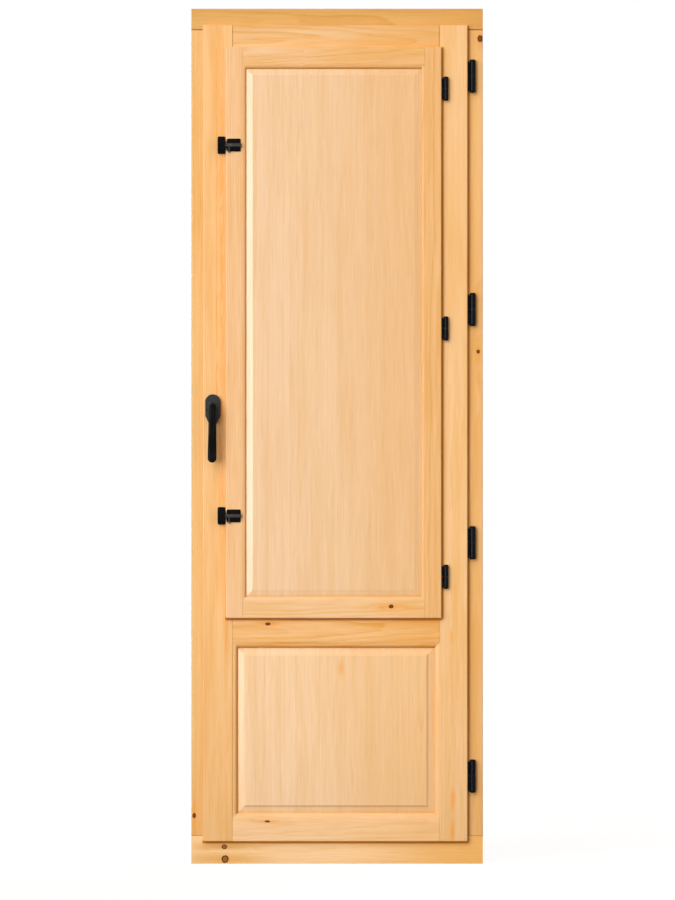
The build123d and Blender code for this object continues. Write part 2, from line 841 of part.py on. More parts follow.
panel_inset = panel_bevel_w + panel_shoulder_w
panel_rise = panel_bevel_h + panel_shoulder_h
save(
    raised_panel(
        flat_l + stick_w, flat_r - stick_w, lower_b + stick_w, lower_t - stick_w, panel_tongue_in,
        leaf_front + panel_tongue_setback, panel_tongue_t,
        [(panel_bevel_w, panel_bevel_h), (panel_inset, panel_rise)],
        [(panel_bevel_w, panel_bevel_h), (panel_inset, panel_rise)],
    ),
    "lower_panel",
)

# Weather bar along the outside of the bottom rail, above the sill's stop
bar_z0 = sill_top + weather_bar_z - stop_w
bar_z1 = bar_z0 + weather_bar_h
bar_y1 = leaf_back + weather_bar_d
bar_l = core_l + weather_bar_end_gap
bar_r = core_r - weather_bar_end_gap
with BuildPart() as weather_bar:
    with BuildSketch(across(bar_l)):
        with BuildLine():
            Polyline((leaf_back, bar_z1), (leaf_back, bar_z0), (bar_y1, bar_z0),
                     (bar_y1, bar_z0 + weather_bar_nose), (leaf_back + weather_bar_top, bar_z1), close=True)
        make_face()
    extrude(amount=bar_r - bar_l)
    fillet(weather_bar.faces().sort_by(Axis.Y)[-1].edges().filter_by(Axis.X), weather_bar_round)
    add(slab(bar_l - overrun, bar_r + overrun, bar_y1 - drip_w * 2, bar_y1 - drip_w, bar_z0 - overrun,
             bar_z0 + drip_w / 2), mode=Mode.SUBTRACT)
save(weather_bar.part, "weather_bar")

# Double glazing: two panes apart on a spacer, held against the outside lip by mitred beads
pane_l = glazed_l + glass_edge_gap
pane_r = glazed_r - glass_edge_gap
pane_b = glazed_b + glass_edge_gap
pane_t = glazed_t - glass_edge_gap
cavity_y1 = glass_seat - glass_t
cavity_y0 = cavity_y1 - glass_cavity
bead_y1 = cavity_y0 - glass_t
bead_y0 = bead_y1 - bead_d
save(slab(pane_l, pane_r, cavity_y1, glass_seat, pane_b, pane_t), "outer_pane")
save(slab(pane_l, pane_r, bead_y1, cavity_y0, pane_b, pane_t), "inner_pane")


def spacer_outline():
    Polyline((0, cavity_y0), (spacer_w, cavity_y0), (spacer_w, cavity_y1), (0, cavity_y1), close=True)


def bead_outline():
    Polyline((bead_w - bead_round, bead_y0), (0, bead_y0), (0, bead_y1), (bead_w, bead_y1),
             (bead_w, bead_y0 + bead_round))
    ThreePointArc(
        (bead_w, bead_y0 + bead_round),
        (bead_w - bead_round * (1 - arc_share), bead_y0 + bead_round * (1 - arc_share)),
        (bead_w - bead_round, bead_y0),
    )


with BuildPart() as pane_spacer:
    for side in sides:
        add(mitred(side, pane_l, pane_r, pane_b, pane_t, spacer_w, spacer_outline))
save(pane_spacer.part, "pane_spacer")
for side in sides:
    save(mitred(side, glazed_l, glazed_r, glazed_b, glazed_t, bead_w, bead_outline), f"glazing_bead_{side}")


# Shutter: a framed raised panel whose lip laps the leaf and whose core enters the glazed opening
def shutter_edge(side):
    return mitred(side, shutter_flat_l, shutter_flat_r, shutter_flat_b, shutter_flat_t, shutter_stick_w,
                  shutter_stick)


def shutter_stile_section(outer, core, flat):
    return [(outer, shutter_front), (flat, shutter_front), (flat, shutter_back), (core, shutter_back),
            (core, shutter_lip_back), (outer, shutter_lip_back)]


def shutter_ends():
    with BuildPart() as ends:
        add(slab(shutter_l, shutter_r, shutter_lip_back, shutter_back + overrun, shutter_core_t,
                 shutter_top + overrun))
        add(slab(shutter_l, shutter_r, shutter_lip_back, shutter_back + overrun, shutter_b - overrun,
                 shutter_core_b))
    return ends.part


latch_screw_places = [z + d for z in latch_zs for d in latch_screw_zs]
with BuildPart() as shutter_left:
    add(bar(level(shutter_b), shutter_stile_section(shutter_l, shutter_core_l, shutter_flat_l),
            shutter_top - shutter_b))
    fillet(shutter_left.faces().sort_by(Axis.Y)[0].edges().sort_by(Axis.X)[:-1], shutter_round)
    add(shutter_ends(), mode=Mode.SUBTRACT)
    add(shutter_edge("left"))
    add(screw_pilots(latch_screw_xs, latch_screw_places, shutter_front, shutter_lip_t - slide_gap),
        mode=Mode.SUBTRACT)
save(shutter_left.part, "shutter_left_stile")

with BuildPart() as shutter_right:
    add(bar(level(shutter_b), shutter_stile_section(shutter_r, shutter_core_r, shutter_flat_r),
            shutter_top - shutter_b))
    fillet(shutter_right.faces().sort_by(Axis.Y)[0].edges().sort_by(Axis.X)[1:], shutter_round)
    add(shutter_ends(), mode=Mode.SUBTRACT)
    add(shutter_edge("right"))
    with BuildSketch(across(shutter_r + overrun)):
        with Locations(*[(small_y, z + small_hinge_h / 4) for z in small_zs]):
            Circle(small_stem_d / 2 + fit_gap)
    extrude(amount=-(overrun + small_stem_in + slide_gap), mode=Mode.SUBTRACT)
save(shutter_right.part, "shutter_right_stile")

shutter_rail_l = shutter_flat_l + joint_gap
shutter_rail_r = shutter_flat_r - joint_gap
with BuildPart() as shutter_head:
    add(bar(
        across(shutter_rail_l),
        [(shutter_front, shutter_flat_t), (shutter_front, shutter_top), (shutter_lip_back, shutter_top),
         (shutter_lip_back, shutter_core_t), (shutter_back, shutter_core_t), (shutter_back, shutter_flat_t)],
        shutter_rail_r - shutter_rail_l,
    ))
    fillet(shutter_head.faces().sort_by(Axis.Y)[0].edges().sort_by(Axis.Z)[-1], shutter_round)
    add(shutter_edge("top"))
save(shutter_head.part, "shutter_top_rail")

with BuildPart() as shutter_foot:
    add(bar(
        across(shutter_rail_l),
        [(shutter_front, shutter_b), (shutter_front, shutter_flat_b), (shutter_back, shutter_flat_b),
         (shutter_back, shutter_core_b), (shutter_lip_back, shutter_core_b), (shutter_lip_back, shutter_b)],
        shutter_rail_r - shutter_rail_l,
    ))
    fillet(shutter_foot.faces().sort_by(Axis.Y)[0].edges().sort_by(Axis.Z)[0], shutter_round)
    add(shutter_edge("bottom"))
save(shutter_foot.part, "shutter_bottom_rail")

save(
    raised_panel(
        shutter_flat_l + shutter_stick_w, shutter_flat_r - shutter_stick_w, shutter_flat_b + shutter_stick_w,
        shutter_flat_t - shutter_stick_w, shutter_tongue_in,
        shutter_front + shutter_tongue_setback, shutter_tongue_t,
        [(shutter_bevel_w, shutter_bevel_h)],
        [(shutter_bevel_w, shutter_back_h)],
    ),
    "shutter_panel",
)

# Espagnolette in the lock stile: one pinion between two racks draws both rods in
base_r = pitch_r * math.cos(math.radians(pressure_angle))
flank_shares = [0.0, 0.35, 0.7, 1.0]


def involute(angle):
    return math.tan(angle) - angle


def half_angle(r):
    # half the tooth's angle at radius r
    at_pitch = (math.pi * tooth_module / 2 - tooth_backlash) / 2 / pitch_r
    if r <= base_r:
        return at_pitch + involute(math.radians(pressure_angle))
    return at_pitch + involute(math.radians(pressure_angle)) - involute(math.acos(base_r / r))


def polar(r, angle):
    return (spindle_x + r * math.cos(angle), handle_z + r * math.sin(angle))


def pinion_points():
    points = []
    radii = [root_r] + [base_r + (tip_r - base_r) * share for share in flank_shares]
    for tooth in range(pinion_teeth):
        middle = math.pi + math.tau * tooth / pinion_teeth
        points += [polar(r, middle - half_angle(r)) for r in radii]
        points += [polar(r, middle + half_angle(r)) for r in reversed(radii)]
    return points


with BuildPart() as pinion:
    with BuildSketch(upright(rod_y1)):
        with BuildLine():
            Polyline(*pinion_points(), close=True)
        make_face()
    extrude(amount=rod_w)
    with BuildSketch(upright(case_y1)):
        with Locations((spindle_x, handle_z)):
            Circle(pinion_hub_d / 2)
    extrude(amount=case_y1 - case_y0)
    with BuildSketch(upright(case_y1)):
        with Locations((spindle_x, handle_z)):
            Rectangle(spindle_side + fit_gap * 2, spindle_side + fit_gap * 2)
    extrude(amount=case_y1 - case_y0, mode=Mode.SUBTRACT)
save(pinion.part, "espagnolette_pinion")


def rack_teeth(pitch_x, toward, first_z, count):
    # straight-sided teeth that point at the pinion, all on one strip of rack
    tooth_pitch = math.pi * tooth_module
    add_h = tooth_module * tooth_addendum_share
    ded_h = tooth_module * tooth_dedendum_share
    lean = math.tan(math.radians(pressure_angle))
    half = (tooth_pitch / 2 - tooth_backlash) / 2
    root_x = pitch_x - toward * ded_h
    tip_x = pitch_x + toward * add_h
    points = []
    for i in range(count):
        z = first_z + tooth_pitch * i
        points += [
            (root_x, z - half - ded_h * lean),
            (tip_x, z - half + add_h * lean),
            (tip_x, z + half - add_h * lean),
            (root_x, z + half + ded_h * lean),
        ]
    return points


# the pinion has a tooth on its left and a space on its right, so the racks start half a pitch apart
tooth_pitch = math.pi * tooth_module
root_half = tooth_pitch / 4 + tooth_module * tooth_dedendum_share * math.tan(math.radians(pressure_angle))
upper_steps = math.floor((rack_end - root_half) / tooth_pitch + 1 / 2)
upper_first = handle_z + tooth_pitch / 2 - tooth_pitch * upper_steps
upper_count = math.floor((upper_rack_t - root_half - upper_first) / tooth_pitch) + 1
lower_first = handle_z - tooth_pitch * math.floor((rod_travel + rack_end - root_half) / tooth_pitch)
lower_count = math.floor((lower_rack_t - root_half - lower_first) / tooth_pitch) + 1
rod_top = core_t + rod_throw_out
rod_bottom = core_b - rod_throw_out
lower_rack_b = bridge_b

with BuildPart() as upper_rod:
    with BuildSketch(upright(rod_y1)):
        with BuildLine():
            teeth = rack_teeth(rack_l, 1, upper_first, upper_count)
            Polyline(
                (rod_l, upper_rack_b), (teeth[0][0], upper_rack_b), *teeth, (teeth[-1][0], upper_rack_t),
                (rod_r, upper_rack_t), (rod_r, rod_top), (rod_l, rod_top), close=True,
            )
        make_face()
    extrude(amount=rod_w)
    chamfer(upper_rod.faces().sort_by(Axis.Z)[-1].edges(), rod_tip)
save(upper_rod.part, "upper_rod")

with BuildPart() as lower_rod:
    with BuildSketch(upright(rod_y1)):
        with BuildLine():
            teeth = rack_teeth(rack_r, -1, lower_first, lower_count)
            Polyline(
                (rod_l, rod_bottom), (rod_r, rod_bottom), (rod_r, bridge_b), (rack_back_r, bridge_b),
                (rack_back_r, lower_rack_t), (teeth[-1][0], lower_rack_t), *reversed(teeth),
                (teeth[0][0], bridge_t),
                (rod_l, bridge_t), close=True,
            )
        make_face()
    extrude(amount=rod_w)
    chamfer(lower_rod.faces().sort_by(Axis.Z)[0].edges(), rod_tip)
save(lower_rod.part, "lower_rod")

with BuildPart() as case:
    add(slab(core_l + faceplate_t, case_r, case_y0, case_y1, case_b, case_t))
    add(slab(core_l, rack_back_r + slide_gap, channel_y0, channel_y1, case_room_b, case_room_t),
        mode=Mode.SUBTRACT)
    add(slab(core_l, channel_r, channel_y0, channel_y1, case_b - overrun, case_t + overrun),
        mode=Mode.SUBTRACT)
    with BuildSketch(upright(case_y1 + overrun)):
        with Locations((spindle_x, handle_z)):
            Circle(pinion_hub_d / 2 + fit_gap)
    extrude(amount=case_y1 - case_y0 + overrun * 2, mode=Mode.SUBTRACT)
save(case.part, "espagnolette_case")

with BuildPart() as faceplate:
    add(slab(core_l, core_l + faceplate_t, plate_y0, plate_y1, core_b, core_t))
    fillet(faceplate.faces().sort_by(Axis.X)[0].edges().filter_by(Axis.Z), faceplate_t / 4)
save(faceplate.part, "espagnolette_faceplate")


# Handle: rose with a round head and a tapered foot, lever pointing down
def rose_outline(shrink):
    half = rose_w / 2 - shrink
    foot = rose_foot_w / 2 - shrink
    arc_z = handle_z + rose_top - rose_w / 2
    low = handle_z - rose_bottom + shrink
    Polyline((spindle_x + half, arc_z), (spindle_x + half, low + rose_taper_h), (spindle_x + foot, low),
             (spindle_x - foot, low), (spindle_x - half, low + rose_taper_h), (spindle_x - half, arc_z))
    ThreePointArc((spindle_x - half, arc_z), (spindle_x, arc_z + half), (spindle_x + half, arc_z))


rose_front = leaf_front - rose_d
with BuildPart() as rose_cover:
    with BuildSketch(upright(leaf_front)):
        with BuildLine():
            rose_outline(0)
        make_face()
    extrude(amount=rose_d)
    fillet(rose_cover.faces().sort_by(Axis.Y)[0].edges(), rose_round)
    with BuildSketch(upright(leaf_front)):
        with BuildLine():
            rose_outline(rose_wall)
        make_face()
    extrude(amount=rose_d - rose_wall, mode=Mode.SUBTRACT)
    with BuildSketch(upright(leaf_front)):
        with Locations((spindle_x, handle_z)):
            Circle(neck_d / 2 + fit_gap)
    extrude(amount=rose_d, mode=Mode.SUBTRACT)
save(rose_cover.part, "handle_rose_cover")

with BuildPart() as rose_base:
    with BuildSketch(upright(leaf_front)):
        with BuildLine():
            rose_outline(rose_wall + fit_gap * 2)
        make_face()
    extrude(amount=rose_base_t)
    with BuildSketch(upright(leaf_front)):
        with Locations((spindle_x, handle_z)):
            Circle(neck_d / 2 + slide_gap)
    extrude(amount=rose_base_t, mode=Mode.SUBTRACT)
save(rose_base.part, "handle_rose_base")

lever_end_z = handle_z - lever_down
lever_head_z = handle_z + lever_top
lever_front = neck_y - lever_t


def lever_side():
    # flat towards the door; the front hollows for the fingers near the end and swells again at the tip
    hollow_top = (lever_front, lever_end_z + lever_hollow_top)
    tip = (lever_front + lever_end_back, lever_end_z)
    Polyline(tip, (neck_y, lever_end_z), (neck_y, lever_head_z), (lever_front, lever_head_z))
    hollow = (lever_front + lever_hollow_d, lever_end_z + lever_hollow_z)
    Spline((lever_front, lever_head_z), hollow_top, hollow, tip, tangents=[(0, -1), (0, -1)])


with BuildPart() as lever:
    with BuildSketch(upright(neck_y)):
        with BuildLine():
            top_r = lever_top_w / 2
            end_r = lever_end_w / 2
            end_x = spindle_x - lever_lean
            Polyline((spindle_x + top_r, lever_head_z - top_r), (end_x + end_r, lever_end_z + end_r))
            ThreePointArc((end_x + end_r, lever_end_z + end_r), (end_x, lever_end_z),
                          (end_x - end_r, lever_end_z + end_r))
            Polyline((end_x - end_r, lever_end_z + end_r), (spindle_x - top_r, lever_head_z - top_r))
            ThreePointArc((spindle_x - top_r, lever_head_z - top_r), (spindle_x, lever_head_z),
                          (spindle_x + top_r, lever_head_z - top_r))
        make_face()
    extrude(amount=lever_t + overrun)
    with BuildSketch(across(spindle_x - lever_end_w)):
        with BuildLine():
            lever_side()
        make_face()
    extrude(amount=lever_end_w * 2, mode=Mode.INTERSECT)
    fillet(lever.faces().sort_by(Axis.Y)[0].edges(), lever_round)
    fillet(lever.faces().sort_by(Axis.Y)[-1].edges(), lever_round)
    with BuildSketch(upright(leaf_front - neck_foot)):
        with Locations((spindle_x, handle_z)):
            Circle(neck_d / 2)
    extrude(amount=lever_back - neck_foot + lever_t / 2)
    with BuildSketch(upright(leaf_front - neck_foot)):
        with Locations((spindle_x, handle_z)):
            Rectangle(spindle_side + fit_gap * 2, spindle_side + fit_gap * 2)
    extrude(amount=lever_back - neck_foot, mode=Mode.SUBTRACT)
save(lever.part, "handle_lever")

with BuildPart() as spindle:
    with BuildSketch(upright(case_y1)):
        with Locations((spindle_x, handle_z)):
            Rectangle(spindle_side, spindle_side)
    extrude(amount=case_y1 - neck_y - fit_gap)
    chamfer(spindle.edges().filter_by(Axis.Y), spindle_side / overrun / 2)
save(spindle.part, "handle_spindle")


# Slide bolts: a base with a T guide on the shutter, a flanged bolt with a thumb pin in it,
# a bridged catch on the leaf
def countersunk(places, seat, depth, gap):
    with BuildPart() as group:
        with BuildSketch(upright(seat)):
            with Locations(*places):
                Circle(screw_head_d / 2 + gap)
        extrude(amount=-screw_head_t, taper=countersink_half_angle)
        with BuildSketch(upright(seat)):
            with Locations(*places):
                Circle(screw_shank_d / 2 + gap)
        extrude(amount=-depth)
    return group.part


def screw_holes(places, seat, depth):
    return countersunk(places, seat, depth, fit_gap)


def screws(places, seat, depth):
    return countersunk(places, seat, depth, 0)


def latch_base(z):
    with BuildPart() as base:
        with BuildSketch(upright(shutter_front)):
            with Locations(((latch_l + latch_r) / 2, z)):
                RectangleRounded(latch_base_l, latch_base_h, latch_corner)
        extrude(amount=latch_plate_t)
        add(slab(latch_l, latch_r, latch_front, shutter_front - latch_plate_t, z - latch_guide_h / 2,
                 z + latch_guide_h / 2))
        fillet(base.faces().sort_by(Axis.Y)[0].edges().filter_by(Axis.X), latch_plate_t / 2)
        neck_half = bolt_w / 2 + slide_gap
        flange_half = bolt_flange_w / 2 + slide_gap
        add(slab(latch_l - overrun, latch_r + overrun, latch_front - overrun, bolt_flange_y1, z - neck_half,
                 z + neck_half), mode=Mode.SUBTRACT)
        add(slab(latch_l - overrun, latch_r + overrun, bolt_flange_y0 - slide_gap, bolt_flange_y1 + slide_gap,
                 z - flange_half, z + flange_half), mode=Mode.SUBTRACT)
        pin_half = thumb_pin_d / 2 + slide_gap
        add(slab(thumb_pin_x - pin_half, thumb_pin_x + bolt_travel + pin_half, latch_front - overrun,
                 thumb_pin_y + pin_half, z - latch_guide_h / 2 - overrun, z), mode=Mode.SUBTRACT)
        places = [(x, z + d) for x in latch_screw_xs for d in latch_screw_zs]
        add(screw_holes(places, shutter_front - latch_plate_t, latch_plate_t), mode=Mode.SUBTRACT)
    return base.part


def latch_bolt(z):
    tail = latch_r + bolt_tail
    with BuildPart() as bolt:
        with BuildSketch(upright(bolt_flange_y0)):
            with BuildLine():
                half = bolt_w / 2
                Polyline((tail - half, z + half), (latch_l - bolt_nose, z + half),
                         (latch_l - bolt_nose, z - half), (tail - half, z - half))
                ThreePointArc((tail - half, z - half), (tail, z), (tail - half, z + half))
            make_face()
        extrude(amount=bolt_flange_y0 - bolt_front)
        fillet(bolt.faces().sort_by(Axis.Y)[0].edges(), bolt_proud)
        add(slab(latch_l, latch_r, bolt_flange_y0, bolt_flange_y1, z - bolt_flange_w / 2,
                 z + bolt_flange_w / 2))
        with BuildSketch(level(z)):
            with Locations((thumb_pin_x, thumb_pin_y)):
                Circle(thumb_pin_d / 2)
        extrude(amount=-(latch_base_h / 2 + thumb_pin_below))
    return bolt.part


def latch_catch(z):
    tunnel_half = bolt_w / 2 + catch_tunnel_gap
    with BuildPart() as catch:
        with BuildSketch(upright(leaf_front)):
            with Locations((catch_x, z)):
                RectangleRounded(catch_w, catch_h, catch_corner)
        extrude(amount=catch_foot_t)
        add(slab(catch_l, catch_r, catch_front, leaf_front - catch_foot_t, z - catch_bridge_h / 2,
                 z + catch_bridge_h / 2))
        fillet(catch.faces().sort_by(Axis.Y)[0].edges(), catch_roof / 2)
        add(slab(catch_r - catch_tunnel, catch_r + overrun, bolt_front - catch_tunnel_gap,
                 bolt_flange_y0 + catch_tunnel_gap, z - tunnel_half, z + tunnel_half), mode=Mode.SUBTRACT)
        with BuildSketch(upright(catch_front)):
            with Locations((catch_l + catch_hole_in, z)):
                Circle(catch_hole_d / 2)
        extrude(amount=-catch_hole_depth, mode=Mode.SUBTRACT)
        places = [(catch_x, z + d) for d in catch_screw_zs]
        add(screw_holes(places, leaf_front - catch_foot_t, catch_foot_t), mode=Mode.SUBTRACT)
    return catch.part


for name, z in zip(["upper", "lower"], latch_zs):
    save(latch_base(z), f"{name}_latch_base")
    save(latch_bolt(z), f"{name}_latch_bolt")
    save(latch_catch(z), f"{name}_latch_catch")
save(
    screws([(x, z) for x in latch_screw_xs for z in latch_screw_places], shutter_front - latch_plate_t,
           latch_plate_t + shutter_lip_t - slide_gap * 2),
    "latch_base_screws",
)
save(
    screws([(catch_x, z) for z in catch_zs], leaf_front - catch_foot_t,
           catch_foot_t + screw_shank_l - slide_gap),
    "catch_screws",
)
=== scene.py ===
import json
import math

import bpy
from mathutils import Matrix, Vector


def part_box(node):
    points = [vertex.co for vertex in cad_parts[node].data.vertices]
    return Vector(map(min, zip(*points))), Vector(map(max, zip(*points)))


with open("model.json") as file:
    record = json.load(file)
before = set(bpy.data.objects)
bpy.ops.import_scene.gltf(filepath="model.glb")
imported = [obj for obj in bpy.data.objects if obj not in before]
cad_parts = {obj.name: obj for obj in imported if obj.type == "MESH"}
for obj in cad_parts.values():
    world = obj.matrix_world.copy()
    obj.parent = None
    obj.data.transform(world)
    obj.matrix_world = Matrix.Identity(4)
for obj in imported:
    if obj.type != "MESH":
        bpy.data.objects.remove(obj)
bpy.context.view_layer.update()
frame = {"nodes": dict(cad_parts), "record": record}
nodes = frame["nodes"]
scene = bpy.context.scene
print("frame loaded:", len(nodes), "nodes")


def hexColour(code):
    # sRGB hex to linear light
    values = [int(code[i:i + 2], 16) / 255 for i in (0, 2, 4)]
    return tuple(v / 12.92 if v <= 0.04045 else ((v + 0.055) / 1.055) ** 2.4 for v in values) + (1.0,)


# small node helpers: each takes sockets or plain numbers and gives back a socket
def feed(tree, target, source):
    if isinstance(source, bpy.types.NodeSocket):
        tree.links.new(source, target)
    else:
        target.default_value = source


def calc(tree, operation, *terms):
    node = tree.nodes.new("ShaderNodeMath")
    node.operation = operation
    for socket, term in zip(node.inputs, terms):
        feed(tree, socket, term)
    return node.outputs[0]


def plus(tree, first, second):
    return calc(tree, "ADD", first, second)


def minus(tree, first, second):
    return calc(tree, "SUBTRACT", first, second)


def times(tree, first, second):
    return calc(tree, "MULTIPLY", first, second)


def over(tree, first, second):
    return calc(tree, "DIVIDE", first, second)


def vecCalc(tree, operation, *terms):
    node = tree.nodes.new("ShaderNodeVectorMath")
    node.operation = operation
    for socket, term in zip(node.inputs, terms):
        feed(tree, socket, term)
    return node.outputs["Value" if operation == "LENGTH" else "Vector"]


def combine(tree, x, y, z):
    node = tree.nodes.new("ShaderNodeCombineXYZ")
    for socket, term in zip(node.inputs, (x, y, z)):
        feed(tree, socket, term)
    return node.outputs[0]


def separate(tree, vector):
    node = tree.nodes.new("ShaderNodeSeparateXYZ")
    tree.links.new(vector, node.inputs[0])
    return node.outputs


def stretched(tree, parts, scales):
    return combine(tree, *[times(tree, part, scale) for part, scale in zip(parts, scales)])


def noise(tree, vector, scale=1.0, detail=2.0, rough=0.5, output="Fac"):
    node = tree.nodes.new("ShaderNodeTexNoise")
    feed(tree, node.inputs["Vector"], vector)
    feed(tree, node.inputs["Scale"], scale)
    node.inputs["Detail"].default_value = detail
    node.inputs["Roughness"].default_value = rough
    return node.outputs[output]


def dice(tree, value):
    # one random number for each whole number
    node = tree.nodes.new("ShaderNodeTexWhiteNoise")
    node.noise_dimensions = "1D"
    feed(tree, node.inputs["W"], value)
    return node.outputs["Value"]


def ramp(tree, value, low, high, toLow=0.0, toHigh=1.0):
    node = tree.nodes.new("ShaderNodeMapRange")
    node.interpolation_type = "SMOOTHSTEP"
    names = ("Value", "From Min", "From Max", "To Min", "To Max")
    for name, term in zip(names, (value, low, high, toLow, toHigh)):
        feed(tree, node.inputs[name], term)
    return node.outputs[0]


def blend(tree, share, first, second, mode="MIX"):
    node = tree.nodes.new("ShaderNodeMix")
    node.data_type = "RGBA"
    node.blend_type = mode
    feed(tree, node.inputs["Factor"], share)
    # the colour sockets of this node share their names with its other kinds, so they go by number
    feed(tree, node.inputs[6], first)
    feed(tree, node.inputs[7], second)
    return node.outputs[2]


def newGroup(name, inputs, outputs):
    tree = bpy.data.node_groups.new(name, "ShaderNodeTree")
    kinds = {"value": "NodeSocketFloat", "vector": "NodeSocketVector", "colour": "NodeSocketColor"}
    for label, kind, value in inputs:
        socket = tree.interface.new_socket(label, in_out="INPUT", socket_type=kinds[kind])
        socket.default_value = value
    for label, kind in outputs:
        tree.interface.new_socket(label, in_out="OUTPUT", socket_type=kinds[kind])
    return tree, tree.nodes.new("NodeGroupInput").outputs, tree.nodes.new("NodeGroupOutput").inputs


def place(tree, group, **values):
    # puts a group into a material; value names are the socket names without spaces
    node = tree.nodes.new("ShaderNodeGroup")
    node.node_tree = group
    for socket in node.inputs:
        key = socket.name.replace(" ", "")
        if key in values:
            feed(tree, socket, values[key])
    return node.outputs


# Pine grain. Growth rings are tubes round a pith line beside the board: ring number = distance from the pith
# over the ring width, pushed about by slow noise; the tone climbs through a ring and falls off at its end.
# Wide boards are glued up from strips and some rails from two finger-jointed lengths, each with its own tone.
# Triples are how fast a noise runs across the face, into the depth and along the grain (1/m).
grainLook = dict(
    fingerSlope=2.4, fingerLength=0.01, stripShift=0.37, stripStep=3.7, lengthStep=11.3, secondDraw=41.0,
    logAlong=9.0, logAcross=0.05, drift=(7.0, 7.0, 1.3), driftGain=4.0, ripple=(48.0, 48.0, 8.0),
    latePower=2.2, lateEnd=(1.0, 0.9), lateSpread=0.9, lateLeast=0.25,
    broad=(34.0, 34.0, 2.4), fibre=(620.0, 620.0, 14.0), dash=(420.0, 420.0, 11.0),
    darkDash=(0.58, 0.76), paleDash=(0.4, 0.24, 0.0, 0.7))


def makeGrain(look):
    tree, inp, out = newGroup(
        "pine grain",
        [("Vector", "vector", (0, 0, 0)), ("Lift", "value", 0.0), ("Pith U", "value", 0.0),
         ("Pith V", "value", 0.06), ("Ring Width", "value", 0.004), ("Wander", "value", 0.006),
         ("Seed", "value", 0.0), ("Strip Width", "value", 1.0), ("Joint At", "value", 9.0),
         ("Swirl", "value", 0.0016)],
        [("Late", "value"), ("Broad", "value"), ("Fibre", "value"), ("Tone", "value"), ("Dash", "value")])
    u, v, w = separate(tree, inp["Vector"])
    # strip and length tell which glued piece a point lies in
    fingers = calc(tree, "PINGPONG", times(tree, v, look["fingerSlope"]), look["fingerLength"])
    strip = calc(tree, "FLOOR", plus(tree, over(tree, u, inp["Strip Width"]), look["stripShift"]))
    length = calc(tree, "GREATER_THAN", plus(tree, w, fingers), inp["Joint At"])
    piece = plus(tree, times(tree, strip, look["stripStep"]), times(tree, length, look["lengthStep"]))
    piece = plus(tree, piece, inp["Seed"])
    chance = dice(tree, piece)
    tone = dice(tree, plus(tree, piece, look["secondDraw"]))
    along = plus(tree, w, times(tree, chance, look["logAlong"]))
    du = plus(tree, minus(tree, u, inp["Pith U"]), times(tree, tone, look["logAcross"]))
    dv = minus(tree, v, inp["Pith V"])
    drift = noise(tree, stretched(tree, (u, v, along), look["drift"]), detail=3.0, output="Color")
    drift = vecCalc(tree, "SUBTRACT", drift, (0.5, 0.5, 0.5))
    push = times(tree, inp["Wander"], look["driftGain"])
    push = vecCalc(tree, "MULTIPLY", drift, combine(tree, push, push, 0.0))
    flat = vecCalc(tree, "ADD", combine(tree, du, dv, 0.0), push)
    ripple = noise(tree, stretched(tree, (u, v, along), look["ripple"]))
    radius = plus(tree, vecCalc(tree, "LENGTH", flat), inp["Lift"])
    radius = plus(tree, radius, times(tree, minus(tree, ripple, 0.5), inp["Swirl"]))
    ring = over(tree, radius, inp["Ring Width"])
    share = calc(tree, "FRACT", ring)
    strength = dice(tree, plus(tree, calc(tree, "FLOOR", ring), inp["Seed"]))
    late = times(tree, calc(tree, "POWER", share, look["latePower"]), ramp(tree, share, *look["lateEnd"]))
    late = times(tree, late, calc(tree, "MULTIPLY_ADD", strength, look["lateSpread"], look["lateLeast"]))
    dash = noise(tree, stretched(tree, (u, v, along), look["dash"]), detail=1.0)
    dash = minus(tree, ramp(tree, dash, *look["darkDash"]), ramp(tree, dash, *look["paleDash"]))
    feed(tree, out["Late"], late)
    feed(tree, out["Broad"], noise(tree, stretched(tree, (du, dv, along), look["broad"]), detail=4.0, rough=0.55))
    feed(tree, out["Fibre"], noise(tree, stretched(tree, (u, v, along), look["fibre"]), rough=0.6))
    feed(tree, out["Tone"], tone)
    feed(tree, out["Dash"], dash)
    return tree


# A knot is an oval across the grain, its rim broken by noise; Lift raises the ring count round it so that the
# grain lines swing past, and Halo is the darker resin drawn out along the grain. Pairs are in half widths.
knotLook = dict(edgeScale=330.0, edgeRough=0.55, haloSpread=1.7, lift=1.6,
                core=(1.1, 0.8), rimIn=(0.5, 0.86), rimOut=(1.22, 0.95), heart=(0.5, 0.1))


